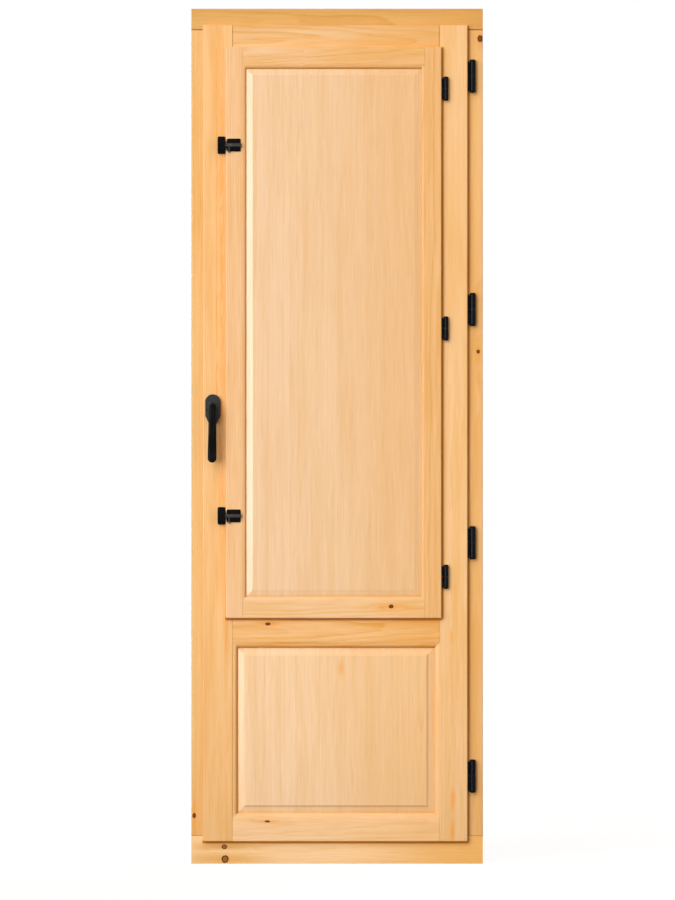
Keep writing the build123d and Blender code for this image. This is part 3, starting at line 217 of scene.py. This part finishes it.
def makeKnot(look):
    tree, inp, out = newGroup(
        "pine knot",
        [("Vector", "vector", (0, 0, 0)), ("Centre U", "value", 0.0), ("Centre W", "value", 0.0),
         ("Half Width", "value", 0.005), ("Half Length", "value", 0.006), ("Halo Reach", "value", 0.06)],
        [("Core", "value"), ("Rim", "value"), ("Halo", "value"), ("Lift", "value"), ("Heart", "value")])
    point = separate(tree, inp["Vector"])
    du = minus(tree, point["X"], inp["Centre U"])
    dw = minus(tree, point["Z"], inp["Centre W"])
    rough = times(tree, minus(tree, noise(tree, inp["Vector"], look["edgeScale"]), 0.5), look["edgeRough"])
    oval = combine(tree, over(tree, du, inp["Half Width"]), over(tree, dw, inp["Half Length"]), 0.0)
    reach = plus(tree, vecCalc(tree, "LENGTH", oval), rough)
    spread = over(tree, du, times(tree, inp["Half Width"], look["haloSpread"]))
    wide = vecCalc(tree, "LENGTH", combine(tree, spread, over(tree, dw, inp["Halo Reach"]), 0.0))
    halo = calc(tree, "EXPONENT", times(tree, times(tree, wide, wide), -1.0))
    feed(tree, out["Core"], ramp(tree, reach, *look["core"]))
    feed(tree, out["Rim"], times(tree, ramp(tree, reach, *look["rimIn"]), ramp(tree, reach, *look["rimOut"])))
    feed(tree, out["Halo"], halo)
    feed(tree, out["Lift"], times(tree, halo, times(tree, inp["Half Width"], look["lift"])))
    feed(tree, out["Heart"], ramp(tree, reach, *look["heart"]))
    return tree


# A resin streak: a band along the grain with soft ragged sides, wandering a little, fading at both ends.
# Curl thins it to the curly lines of a noise.
streakLook = dict(slow=(3.0, 4.0, 2.2), driftGain=4.0, ragged=(160.0, 60.0, 3.0), raggedGain=1.1,
                  sides=(1.15, 0.35), curl=(130.0, 60.0, 11.0), curlLine=(0.09, 0.015))


def makeStreak(look):
    tree, inp, out = newGroup(
        "resin streak",
        [("Vector", "vector", (0, 0, 0)), ("Centre U", "value", 0.0), ("Half Width", "value", 0.01),
         ("Start W", "value", 0.0), ("End W", "value", 1.0), ("Fade", "value", 0.2), ("Drift", "value", 0.004),
         ("Curl", "value", 0.0)],
        [("Mask", "value")])
    u, v, w = separate(tree, inp["Vector"])
    slow = noise(tree, stretched(tree, (1.0, v, w), look["slow"]))
    ragged = noise(tree, stretched(tree, (u, v, w), look["ragged"]), detail=3.0, rough=0.6)
    sway = times(tree, inp["Drift"], look["driftGain"])
    middle = calc(tree, "MULTIPLY_ADD", minus(tree, slow, 0.5), sway, inp["Centre U"])
    side = over(tree, calc(tree, "ABSOLUTE", minus(tree, u, middle)), inp["Half Width"])
    side = plus(tree, side, times(tree, minus(tree, ragged, 0.5), look["raggedGain"]))
    mask = ramp(tree, side, *look["sides"])
    mask = times(tree, mask, ramp(tree, w, inp["Start W"], plus(tree, inp["Start W"], inp["Fade"])))
    mask = times(tree, mask, ramp(tree, w, inp["End W"], minus(tree, inp["End W"], inp["Fade"])))
    curl = noise(tree, stretched(tree, (u, v, w), look["curl"]))
    lines = ramp(tree, calc(tree, "ABSOLUTE", minus(tree, curl, 0.5)), *look["curlLine"])
    keep = minus(tree, 1.0, times(tree, minus(tree, 1.0, lines), inp["Curl"]))
    feed(tree, out["Mask"], times(tree, mask, keep))
    return tree


# Varnished surface over the grain: pale early wood, honey late wood, a painted fall-off of light, resin and knots
# laid over it in turn, and painted shade along edges last.
finishLook = dict(
    lateShare=1.3, broad=(0.36, 0.72, 0.0, 0.85), resinShare=0.95, fibreSpread=0.16, dashDepth=0.06,
    fineGreen=1.25, fineBlue=1.6, knotShare=0.92, heart="501f02", heartShare=0.5, rim="3c1700", rimShare=0.97,
    seam="703a08", seamShare=0.7, soilTint=(0.88, 0.64, 0.24), soilFibre=0.5, soilLeast=0.75,
    rough=0.36, fibreRough=0.12, lateRough=0.06, knotRough=0.1,
    lateHeight=0.5, fibreHeight=0.35, dashHeight=0.3, rimHeight=0.8)


def makeFinish(look):
    white = (1, 1, 1, 1)
    tree, inp, out = newGroup(
        "pine varnish",
        [("Late", "value", 0.0), ("Broad", "value", 0.5), ("Fibre", "value", 0.5), ("Tone", "value", 0.5),
         ("Dash", "value", 0.0), ("Resin", "value", 0.0), ("Core", "value", 0.0), ("Rim", "value", 0.0),
         ("Heart", "value", 0.0), ("Knot", "colour", white), ("Pale", "colour", white), ("Ring", "colour", white),
         ("Honey", "colour", white), ("Contrast", "value", 0.5), ("Tone Spread", "value", 0.1),
         ("Warm", "value", 0.0), ("Seam", "value", 0.0), ("Soil", "value", 0.0)],
        [("Color", "colour"), ("Roughness", "value"), ("Height", "value")])
    bands = plus(tree, times(tree, inp["Late"], look["lateShare"]), ramp(tree, inp["Broad"], *look["broad"]))
    colour = blend(tree, times(tree, bands, inp["Contrast"]), inp["Pale"], inp["Ring"])
    colour = blend(tree, times(tree, inp["Tone"], inp["Tone Spread"]), colour, inp["Ring"])
    # painted fall-off of light: the ring tone laid on towards one side, darker where the light falls off
    colour = blend(tree, inp["Warm"], colour, inp["Ring"])
    colour = blend(tree, times(tree, inp["Resin"], look["resinShare"]), colour, inp["Honey"])
    fine = calc(tree, "MULTIPLY_ADD", minus(tree, inp["Fibre"], 0.5), look["fibreSpread"], 1.0)
    fine = minus(tree, fine, times(tree, inp["Dash"], look["dashDepth"]))
    fineTint = [fine] + [calc(tree, "POWER", fine, look[key]) for key in ("fineGreen", "fineBlue")]
    colour = blend(tree, 1.0, colour, combine(tree, *fineTint), "MULTIPLY")
    colour = blend(tree, times(tree, inp["Core"], look["knotShare"]), colour, inp["Knot"])
    for mask, key in (("Heart", "heart"), ("Rim", "rim"), ("Seam", "seam")):
        colour = blend(tree, times(tree, inp[mask], look[key + "Share"]), colour, hexColour(look[key]))
    # painted shade: a brown darkening where shadow falls beside a step or moulding, letting less blue through
    depth = calc(tree, "MULTIPLY_ADD", inp["Fibre"], look["soilFibre"], look["soilLeast"])
    depth = times(tree, inp["Soil"], depth)
    soilTint = combine(tree, *[calc(tree, "POWER", tint, depth) for tint in look["soilTint"]])
    colour = blend(tree, 1.0, colour, soilTint, "MULTIPLY")
    rough = calc(tree, "MULTIPLY_ADD", inp["Fibre"], look["fibreRough"], look["rough"])
    rough = minus(tree, rough, times(tree, inp["Late"], look["lateRough"]))
    ridges = times(tree, inp["Late"], look["lateHeight"])
    ridges = plus(tree, ridges, times(tree, inp["Fibre"], look["fibreHeight"]))
    dents = plus(tree, times(tree, inp["Dash"], look["dashHeight"]), times(tree, inp["Rim"], look["rimHeight"]))
    feed(tree, out["Color"], colour)
    feed(tree, out["Roughness"], plus(tree, rough, times(tree, inp["Core"], look["knotRough"])))
    feed(tree, out["Height"], minus(tree, ridges, dents))
    return tree


# Cast or plated metal and rubber skin: fine pebbling, slow mottling and sparse rubbed spots.
skinLook = dict(rubMottle=0.75, rubPebble=0.25, rubbed=(0.45, 0.72),
                dullMottle=0.6, dullPebble=0.4, dulled=(0.3, 0.7), mottleHeight=0.4)


def makeSkin(look):
    tree, inp, out = newGroup(
        "metal skin",
        [("Vector", "vector", (0, 0, 0)), ("Pebble Size", "value", 0.0008), ("Mottle Size", "value", 0.02),
         ("Dark", "colour", (0, 0, 0, 1)), ("Light", "colour", (0.1, 0.1, 0.1, 1)),
         ("Smooth", "value", 0.3), ("Dull", "value", 0.5)],
        [("Color", "colour"), ("Roughness", "value"), ("Height", "value")])
    pebble = noise(tree, inp["Vector"], over(tree, 1.0, inp["Pebble Size"]))
    mottle = noise(tree, inp["Vector"], over(tree, 1.0, inp["Mottle Size"]), detail=4.0, rough=0.6)
    rubbed = plus(tree, times(tree, mottle, look["rubMottle"]), times(tree, pebble, look["rubPebble"]))
    dulled = plus(tree, times(tree, mottle, look["dullMottle"]), times(tree, pebble, look["dullPebble"]))
    feed(tree, out["Color"], blend(tree, ramp(tree, rubbed, *look["rubbed"]), inp["Dark"], inp["Light"]))
    feed(tree, out["Roughness"], ramp(tree, dulled, *look["dulled"], inp["Smooth"], inp["Dull"]))
    feed(tree, out["Height"], plus(tree, pebble, times(tree, mottle, look["mottleHeight"])))
    return tree


grainGroup = makeGrain(grainLook)
knotGroup = makeKnot(knotLook)
streakGroup = makeStreak(streakLook)
finishGroup = makeFinish(finishLook)
skinGroup = makeSkin(skinLook)
print("node groups made")


def newMaterial(name):
    material = bpy.data.materials.new(name)
    material.use_nodes = True
    tree = material.node_tree
    return material, tree, tree.nodes["Principled BSDF"].inputs


def mapped(tree, vector, rotation):
    mapping = tree.nodes.new("ShaderNodeMapping")
    mapping.inputs["Rotation"].default_value = rotation
    tree.links.new(vector, mapping.inputs["Vector"])
    return mapping.outputs[0]


def objectPoint(tree):
    return tree.nodes.new("ShaderNodeTexCoord").outputs["Object"]


def bumpNormal(tree, shader, height, distance, strength):
    bump = tree.nodes.new("ShaderNodeBump")
    bump.inputs["Distance"].default_value = distance
    bump.inputs["Strength"].default_value = strength
    tree.links.new(height, bump.inputs["Height"])
    tree.links.new(bump.outputs[0], shader["Normal"])


def dress(name, material):
    slots = nodes[name].data.materials
    slots.clear()
    slots.append(material)


# An edge along which shade is painted: the axis it is measured on, where it lies, which way is away from it
# and its two ends.
def standing(left, right):
    # the right and lower edges of framed pieces that stand on a face, where their shade is painted
    low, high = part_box(left)[0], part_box(right)[1]
    return ("x", high.x, 1, low.z, high.z), ("z", low.z, -1, low.x, high.x)


def opening(panel, tongue):
    # edges round a panel, whose tongue is hidden in the groove; foot is on the panel itself
    low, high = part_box(panel)
    x0, x1, z0, z1 = low.x + tongue, high.x - tongue, low.z + tongue, high.z - tongue
    return {"left": ("x", x0, -1, z0, z1), "foot": ("z", z0, 1, x0, x1), "top": ("z", z1, 1, x0, x1)}


tongues = dict(lower=0.008, shutter=0.0055)
leafRight, leafUnder = standing("leaf_lock_stile", "leaf_hinge_stile")
shutterRight, shutterUnder = standing("shutter_left_stile", "shutter_right_stile")
lowerEdge = opening("lower_panel", tongues["lower"])
shutterEdge = opening("shutter_panel", tongues["shutter"])

# Boards. run: way of the grain; pith: where the heart lies beside the board's middle, across and in depth (m);
# lean: degrees between board and pith, which draws the arches; ringWidth, swirl: rings and how far they sway (m);
# pale, ring, honey, knot: sRGB tones; contrast: how strong the rings are; seed: which draw of the grain;
# toneSpread: how unlike the glued pieces are; strip: width of the glued strips (m); joint: X of a finger joint;
# warm: from X, to X, share of the ring tone laid on, a painted fall-off of light towards +X;
# seams: how dark the two ends are, where varnish gathers;
# soil: edges and how strong the painted shade along them is; knots: (X, Z, half across, half along, halo);
# honeySpots: (X, Z, half across, half along); streaks: (across, half width, start, end, strength, curl).
# Places are in the object's frame (m).
usualBoard = dict(swirl=0.0016, strip=3.0, joint=9.0, toneSpread=0.25, knot="7a3602", honey="ee9f48",
                  warm=(0.0, 1.0, 0.0), seams=(0, 0), soil=[], knots=[], honeySpots=[], streaks=[])
pineBoards = {
    "frame_head": dict(run="x", pith=(0.012, 0.075), lean=0.6, ringWidth=0.0046, swirl=0.0028, pale="dbac68",
                       ring="cd8e3c", contrast=0.48, seed=3, joint=-0.0956, warm=(0.12, 0.36, 0.4)),
    "frame_left_jamb": dict(run="z", pith=(-0.05, 0.04), lean=0.2, ringWidth=0.0042, pale="e8bd80",
                            ring="de9e46", contrast=0.45, seed=5, seams=(0.35, 0.9),
                            knots=[(-0.3675, 0.1239, 0.0042, 0.0062, 0.05)]),
    "frame_right_jamb": dict(run="z", pith=(0.04, 0.06), lean=0.3, ringWidth=0.0048, pale="e9b97b",
                             ring="da9a43", contrast=0.5, seed=8, soil=[(leafRight, 0.8)], seams=(0.35, 0.9),
                             honey="dd9a45",
                             knots=[(0.3681, 2.1229, 0.0064, 0.0084, 0.02),
                                    (0.363, 1.3178, 0.0042, 0.0048, 0.03)]),
    "frame_sill": dict(run="x", pith=(0.0, 0.07), lean=0.4, ringWidth=0.005, swirl=0.003, pale="fed5a3",
                       ring="f0b668", contrast=0.3, seed=11, knot="a8641e", honey="e2a23c",
                       soil=[(leafUnder, 2.3)],
                       streaks=[(0.0432, 0.004, -0.35, -0.24, 0.7, 0.15),
                                (0.0125, 0.006, -0.36, -0.22, 0.7, 0.15)], warm=(0.0, 0.34, 1.0),
                       knots=[(-0.29, 0.0435, 0.0055, 0.0068, 0.085), (-0.2882, 0.0118, 0.0092, 0.0085, 0.1)]),
    "leaf_lock_stile": dict(run="z", pith=(-0.07, 0.03), lean=0.25, ringWidth=0.0044, pale="f2c58d",
                            ring="e6a654", contrast=0.55, seed=14,
                            soil=[(shutterUnder, 2.6), (lowerEdge["left"], 0.6)],
                            streaks=[(-0.2965, 0.0085, 0.66, 2.3, 0.66, 0.8),
                                     (-0.309, 0.004, 0.9, 2.4, 0.6, 0.65),
                                     (-0.285, 0.006, 0.35, 1.1, 0.6, 0.65)]),
    "leaf_hinge_stile": dict(run="z", pith=(0.06, 0.05), lean=0.2, ringWidth=0.005, pale="f0c796",
                             ring="e5ab5b", contrast=0.5, seed=17,
                             soil=[(shutterRight, 1.5), (shutterUnder, 2.6)],
                             streaks=[(0.297, 0.0065, 0.125, 0.205, 0.9, 0.2),
                                      (0.296, 0.0065, 0.045, 0.12, 0.9, 0.2),
                                      (0.2945, 0.005, 0.56, 0.61, 0.5, 0.0)]),
    "leaf_top_rail": dict(run="x", pith=(0.004, 0.06), lean=1.2, ringWidth=0.0052, swirl=0.0045, pale="e8c08e",
                          ring="dda04f", contrast=0.65, seed=20, seams=(0.75, 0.75), warm=(-0.02, 0.22, 0.5),
                          honeySpots=[(-0.18, 2.1205, 0.0026, 0.052), (-0.062, 2.1228, 0.0024, 0.05),
                                      (0.12, 2.131, 0.002, 0.06)]),
    "leaf_middle_rail": dict(run="x", pith=(0.01, 0.06), lean=1.0, ringWidth=0.0052, swirl=0.006, pale="efbf86",
                             ring="e19f48", contrast=0.75, seed=23,
                             soil=[(shutterUnder, 2.6), (lowerEdge["top"], 0.45)], seams=(0.2, 0.2),
                             warm=(0.0, 0.25, 0.35), knots=[(-0.178, 0.6173, 0.0036, 0.0062, 0.03)]),
    "leaf_bottom_rail": dict(run="x", pith=(0.01, 0.05), lean=0.8, ringWidth=0.0055, swirl=0.005, pale="fad2a5",
                             ring="ecb368", contrast=0.42, seed=26, seams=(0.2, 0.2), warm=(0.1, 0.26, 0.4),
                             knots=[(-0.1794, 0.1096, 0.0026, 0.0062, 0.03)]),
    "lower_panel": dict(run="z", pith=(0.27, 0.03), lean=0.1, ringWidth=0.0034, pale="f4d2ab", ring="e6b26e",
                        contrast=0.4, seed=29, toneSpread=0.15, strip=0.071, warm=(-0.09, 0.16, 0.45),
                        soil=[(lowerEdge["foot"], 0.35)], honeySpots=[(0.0105, 0.5038, 0.0075, 0.018)]),
    "weather_bar": dict(run="x", pith=(0.02, 0.05), lean=0.4, ringWidth=0.005, pale="f6c48a", ring="e0a052",
                        contrast=0.6, seed=32),
    "shutter_left_stile": dict(run="z", pith=(-0.05, 0.05), lean=0.2, ringWidth=0.0045, pale="eec395",
                               ring="e3a75d", contrast=0.45, seed=38, soil=[(shutterEdge["left"], 0.7)]),
    "shutter_right_stile": dict(run="z", pith=(0.05, 0.04), lean=0.3, ringWidth=0.0055, pale="eabc85",
                                ring="dc9e4d", contrast=0.55, seed=41),
    "shutter_top_rail": dict(run="x", pith=(0.01, 0.05), lean=1.6, ringWidth=0.0052, swirl=0.007, pale="f0caa0",
                             ring="e1a75b", contrast=0.6, seed=44, soil=[(shutterEdge["top"], 0.8)],
                             joint=-0.0776, warm=(-0.23, 0.2, 0.5)),
    "shutter_bottom_rail": dict(run="x", pith=(0.01, 0.05), lean=0.6, ringWidth=0.005, swirl=0.004,
                                pale="f1cba3", ring="e2aa59", contrast=0.5, seed=47, warm=(0.0, 0.22, 0.45),
                                knots=[(0.1388, 0.6623, 0.0046, 0.0056, 0.04)]),
    "shutter_panel": dict(run="z", pith=(0.3, 0.03), lean=0.1, ringWidth=0.0032, pale="edcca7", ring="e0ac6c",
                          contrast=0.38, seed=50, toneSpread=0.15, strip=0.083, warm=(-0.11, 0.16, 0.5),
                          soil=[(shutterEdge["foot"], 0.28)]),
}
beadBoard = dict(pith=(0.02, 0.03), lean=0.2, ringWidth=0.004, pale="f6c486", ring="e2a356", contrast=0.5)
beadRuns = dict(left="z", right="z", top="x", bottom="x")
for seed, (side, run) in enumerate(beadRuns.items(), 33):
    pineBoards["glazing_bead_" + side] = dict(beadBoard, run=run, seed=seed)

# painted shade: how it thins away from the edge, under it, behind the board's face and past its ends (m)
paintedShadeLook = dict(away=(0.0085, 0.001), under=(-0.007, -0.002), behind=(0.014, 0.012), ends=(0.002, 0.0005))
pineLook = dict(sideLean=0.3, haloResin=0.75, spotResin=0.6, longestFade=0.3, fadeShare=0.4, driftShare=0.45,
                seam=(0.0024, 0.0004), specular=0.03, coat=0.23, coatRough=0.13, bump=(0.00025, 0.5))


# painted shade along one edge: a band standing in for the shadow beside a step or moulding
def paintedShadeBand(tree, edge, depth, behindFace, look):
    axis, at, sense, start, end = edge
    point = separate(tree, objectPoint(tree))
    level, along = (point["X"], point["Z"]) if axis == "x" else (point["Z"], point["X"])
    away = times(tree, minus(tree, level, at), sense)
    band = times(tree, ramp(tree, away, *look["away"]), ramp(tree, away, *look["under"]))
    band = times(tree, band, ramp(tree, behindFace, *look["behind"], 0.0, depth))
    band = times(tree, band, ramp(tree, along, *[start - past for past in look["ends"]]))
    return times(tree, band, ramp(tree, along, *[end + past for past in look["ends"]]))


def pineMaterial(name, board, look):
    material, tree, shader = newMaterial("pine " + name.replace("_", " "))
    low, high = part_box(name)
    middle = (low + high) / 2
    lean = math.radians(board["lean"])
    across = board["run"] == "x"
    # the board's own axes: u across the face, v into the depth from the front face, w along the grain
    point = mapped(tree, objectPoint(tree), (0, math.radians(-90) if across else 0.0, 0))
    centre = (-middle.z, low.y, 0) if across else (middle.x, low.y, 0)
    local = vecCalc(tree, "SUBTRACT", point, centre)
    leaning = mapped(tree, local, (lean, lean * look["sideLean"], 0))
    u, v, w = separate(tree, local)

    def spot(x, z):
        # a place on the face, in the board's axes
        return (-z - centre[0], x) if across else (x - centre[0], z)

    total = {"Core": 0.0, "Rim": 0.0, "Heart": 0.0, "Lift": 0.0, "Resin": 0.0}

    def addKnot(x, z, halfAcross, halfAlong, halo, resin):
        atU, atW = spot(x, z)
        knot = place(tree, knotGroup, Vector=local, CentreU=atU, CentreW=atW, HalfWidth=halfAcross,
                     HalfLength=halfAlong, HaloReach=halo)
        total["Lift"] = plus(tree, total["Lift"], knot["Lift"])
        total["Resin"] = calc(tree, "MAXIMUM", total["Resin"], times(tree, knot["Halo"], resin))
        return knot

    for knotPlace in board["knots"]:
        knot = addKnot(*knotPlace, look["haloResin"])
        for key in ("Core", "Rim", "Heart"):
            total[key] = calc(tree, "MAXIMUM", total[key], knot[key])
    for x, z, halfAcross, halfAlong in board["honeySpots"]:
        addKnot(x, z, halfAcross / knotLook["haloSpread"], halfAlong, halfAlong, look["spotResin"])
    for at, half, start, end, strength, curl in board["streaks"]:
        streak = place(tree, streakGroup, Vector=local, CentreU=spot(at, at)[0], HalfWidth=half, StartW=start,
                       EndW=end, Fade=min(look["longestFade"], (end - start) * look["fadeShare"]),
                       Drift=half * look["driftShare"], Curl=curl)
        total["Resin"] = calc(tree, "MAXIMUM", total["Resin"], times(tree, streak["Mask"], strength))
    # painted fall-off of light along X: more ring tone, darker and more orange, towards +X
    falloffFrom, falloffTo, falloffMost = board["warm"]
    warm = ramp(tree, w if across else plus(tree, u, centre[0]), falloffFrom, falloffTo, 0.0, falloffMost)
    start, end = (low.x, high.x) if across else (low.z, high.z)
    startSeam = ramp(tree, w, *[start + inside for inside in look["seam"]], 0.0, board["seams"][0])
    endSeam = ramp(tree, w, *[end - inside for inside in look["seam"]], 0.0, board["seams"][1])
    # painted shade along the board's edges
    soil = 0.0
    for edge, depth in board["soil"]:
        soil = calc(tree, "MAXIMUM", soil, paintedShadeBand(tree, edge, depth, v, paintedShadeLook))
    pithU, pithV = board["pith"]
    grain = place(tree, grainGroup, Vector=leaning, Lift=total["Lift"], PithU=pithU, PithV=pithV,
                  RingWidth=board["ringWidth"], Seed=float(board["seed"]), StripWidth=board["strip"],
                  JointAt=board["joint"], Swirl=board["swirl"])
    finish = place(tree, finishGroup, Late=grain["Late"], Broad=grain["Broad"], Fibre=grain["Fibre"],
                   Tone=grain["Tone"], Dash=grain["Dash"], Resin=total["Resin"], Core=total["Core"],
                   Rim=total["Rim"], Heart=total["Heart"], Knot=hexColour(board["knot"]),
                   Pale=hexColour(board["pale"]), Ring=hexColour(board["ring"]), Honey=hexColour(board["honey"]),
                   Contrast=board["contrast"], ToneSpread=board["toneSpread"], Warm=warm,
                   Seam=calc(tree, "MAXIMUM", startSeam, endSeam), Soil=soil)
    tree.links.new(finish["Color"], shader["Base Color"])
    tree.links.new(finish["Roughness"], shader["Roughness"])
    shader["Specular IOR Level"].default_value = look["specular"]
    shader["Coat Weight"].default_value = look["coat"]
    shader["Coat Roughness"].default_value = look["coatRough"]
    bumpNormal(tree, shader, finish["Height"], *look["bump"])
    return material


for name, board in pineBoards.items():
    dress(name, pineMaterial(name, dict(usualBoard, **board), pineLook))
print("pine boards dressed:", len(pineBoards))

# Metal and seal. pebble, mottle: sizes (m); smooth, dull: least and most roughness; bump: height (m) and strength.
skinFinishes = {
    "black cast": dict(dark="050506", light="0e0e10", pebble=0.0006, mottle=0.03, smooth=0.15, dull=0.26,
                       metallic=0.0, specular=0.06, bump=(0.00006, 0.4)),
    # painted sheen: a lighter black standing in for the light that a domed rose catches
    "black satin painted sheen": dict(dark="29292b", light="434346", pebble=0.0006, mottle=0.012, smooth=0.24, dull=0.36,
                        metallic=0.0, specular=0.14, bump=(0.00005, 0.4)),
    # painted sheen: a lighter black standing in for the lamp light that the bolt bar catches
    "black bolt painted sheen": dict(dark="353433", light="504e4c", pebble=0.0008, mottle=0.014, smooth=0.26, dull=0.4,
                         metallic=0.0, specular=0.14, bump=(0.00005, 0.4)),
    "black steel": dict(dark="1a1a1c", light="3a3a3d", pebble=0.0009, mottle=0.02, smooth=0.3, dull=0.45,
                        metallic=1.0, specular=0.5, bump=(0.00003, 0.3)),
    "zinc plate": dict(dark="8f8f8c", light="b9b8b2", pebble=0.0012, mottle=0.05, smooth=0.26, dull=0.42,
                       metallic=1.0, specular=0.5, bump=(0.00003, 0.3)),
    "spacer alloy": dict(dark="9c9d9f", light="c2c3c5", pebble=0.001, mottle=0.04, smooth=0.3, dull=0.45,
                         metallic=1.0, specular=0.5, bump=(0.00003, 0.3)),
    "brown rubber": dict(dark="3c2617", light="523721", pebble=0.0007, mottle=0.02, smooth=0.6, dull=0.8,
                         metallic=0.0, specular=0.3, bump=(0.00008, 0.4)),
}


def skinned(name, look):
    # a new material whose colour and roughness come from the skin group
    material, tree, shader = newMaterial(name)
    skin = place(tree, skinGroup, Vector=objectPoint(tree), PebbleSize=look["pebble"], MottleSize=look["mottle"],
                 Dark=hexColour(look["dark"]), Light=hexColour(look["light"]),
                 Smooth=look["smooth"], Dull=look["dull"])
    tree.links.new(skin["Color"], shader["Base Color"])
    tree.links.new(skin["Roughness"], shader["Roughness"])
    return material, tree, shader, skin


def skinMaterial(name, look):
    material, tree, shader, skin = skinned(name, look)
    shader["Metallic"].default_value = look["metallic"]
    shader["Specular IOR Level"].default_value = look["specular"]
    bumpNormal(tree, shader, skin["Height"], *look["bump"])
    return material


skins = {name: skinMaterial(name, look) for name, look in skinFinishes.items()}

# Glass: dark and light are the clean and the smeared tint, shade is the share of lamp light that passes
paneLook = dict(dark="f9fdfb", light="fdfefd", pebble=0.03, mottle=0.35, smooth=0.004, dull=0.03,
                ior=1.5, shade=(0.965, 0.98, 0.972, 1))


def paneMaterial(look):
    material, tree, shader = skinned("window glass", look)[:3]
    shader["Transmission Weight"].default_value = 1.0
    shader["IOR"].default_value = look["ior"]
    # light passes the panes without a dark shadow
    clear = tree.nodes.new("ShaderNodeBsdfTransparent")
    clear.inputs["Color"].default_value = look["shade"]
    path = tree.nodes.new("ShaderNodeLightPath")
    mix = tree.nodes.new("ShaderNodeMixShader")
    tree.links.new(path.outputs["Is Shadow Ray"], mix.inputs["Fac"])
    tree.links.new(tree.nodes["Principled BSDF"].outputs[0], mix.inputs[1])
    tree.links.new(clear.outputs[0], mix.inputs[2])
    tree.links.new(mix.outputs[0], tree.nodes["Material Output"].inputs["Surface"])
    return material


# which piece wears what: by its material slot, then by its name
slotLooks = {"black_metal": skins["black cast"], "steel": skins["zinc plate"], "spacer": skins["spacer alloy"],
             "seal": skins["brown rubber"], "glass": paneMaterial(paneLook)}
otherSkins = {"leaf_hinge_pins": "black steel", "shutter_hinge_pins": "black steel",
              "handle_rose_cover": "black satin painted sheen", "upper_latch_bolt": "black bolt painted sheen",
              "lower_latch_bolt": "black bolt painted sheen"}
for entry in frame["record"]["subparts"]:
    if entry["material_slot"] in slotLooks:
        dress(entry["node"], slotLooks[entry["material_slot"]])
for name, skin in otherSkins.items():
    dress(name, skins[skin])
print("fittings, seal and glass dressed")

# Floor and room: white to the eye, while the light the room sheds is a weak warm bounce
stageLook = dict(floorColour=(0.12, 0.12, 0.12, 1), floorRough=0.9, floorGlow=0.935, floorReach=6,
                 roomTint=(1.0, 0.52, 0.13, 1), roomLight=0.14, white=(1, 1, 1, 1))


def seenWhite(tree):
    # what the eye, a reflection or a look through glass meets, but not light that a surface has scattered
    path = tree.nodes.new("ShaderNodeLightPath").outputs
    seen = calc(tree, "MAXIMUM", path["Is Glossy Ray"], path["Is Transmission Ray"])
    seen = calc(tree, "MAXIMUM", path["Is Camera Ray"], seen)
    return times(tree, seen, calc(tree, "LESS_THAN", path["Diffuse Depth"], 0.5))


def makeFloor(look):
    mesh = bpy.data.meshes.new("floor")
    reach = look["floorReach"]
    corners = [(-reach, -reach, 0), (reach, -reach, 0), (reach, reach, 0), (-reach, reach, 0)]
    mesh.from_pydata(corners, [], [(0, 1, 2, 3)])
    floor = bpy.data.objects.new("floor", mesh)
    scene.collection.objects.link(floor)
    material, tree, shader = newMaterial("floor white")
    shader["Base Color"].default_value = look["floorColour"]
    shader["Roughness"].default_value = look["floorRough"]
    shader["Specular IOR Level"].default_value = 0.0
    shader["Emission Color"].default_value = look["white"]
    tree.links.new(times(tree, seenWhite(tree), look["floorGlow"]), shader["Emission Strength"])
    mesh.materials.append(material)


def makeWorld(look):
    world = bpy.data.worlds.new("white room")
    scene.world = world
    world.use_nodes = True
    tree = world.node_tree
    background = tree.nodes["Background"].inputs
    seen = seenWhite(tree)
    tree.links.new(blend(tree, seen, look["roomTint"], look["white"]), background["Color"])
    level = calc(tree, "MULTIPLY_ADD", seen, 1.0 - look["roomLight"], look["roomLight"])
    tree.links.new(level, background["Strength"])


# Far lamps, each given by where its light comes from: degrees to the left of the camera, degrees up, level and
# degrees of breadth. The left bevels of the shutter's panel and the lower panel mirror leftBox and lowBox.
lampPlan = {
    "key": dict(left=32, up=19, level=2.6, breadth=52),
    "leftBox": dict(left=24, up=1, level=0.34, breadth=7.5),
    "lowBox": dict(left=32.4, up=-2, level=0.2, breadth=7),
    "topBox": dict(left=26, up=52, level=0.32, breadth=15),
    "rightFill": dict(left=-38, up=10, level=0.58, breadth=60),
    "backFill": dict(left=205, up=14, level=2.6, breadth=40),
}
lampAway = 6


def makeLamps(plan):
    for name, lamp in plan.items():
        data = bpy.data.lights.new(name, "SUN")
        data.energy = lamp["level"]
        data.angle = math.radians(lamp["breadth"])
        obj = bpy.data.objects.new(name, data)
        left, up = math.radians(lamp["left"]), math.radians(lamp["up"])
        source = Vector((-math.sin(left) * math.cos(up), -math.cos(left) * math.cos(up), math.sin(up)))
        obj.location = source * lampAway
        obj.rotation_euler = source.to_track_quat("Z", "Y").to_euler()
        scene.collection.objects.link(obj)


# The photo is 900 pixels high, at 2.573 mm to a pixel on the frame's front. Lengths in m, the sensor in mm.
cameraPlan = dict(x=0.001, z=1.0645, frontY=-0.035, distance=20.0, viewHeight=900 * 0.002573, sensor=36)


def makeCamera(plan):
    data = bpy.data.cameras.new("camera")
    data.sensor_width = plan["sensor"]
    data.lens = plan["sensor"] * plan["distance"] / plan["viewHeight"]
    data.dof.use_dof = False
    camera = bpy.data.objects.new("camera", data)
    camera.location = (plan["x"], plan["frontY"] - plan["distance"], plan["z"])
    camera.rotation_euler = (math.radians(90), 0, 0)
    scene.collection.objects.link(camera)
    scene.camera = camera


makeFloor(stageLook)
makeWorld(stageLook)
makeLamps(lampPlan)
makeCamera(cameraPlan)
scene.view_settings.view_transform = "Standard"
print("stage, light and camera set")
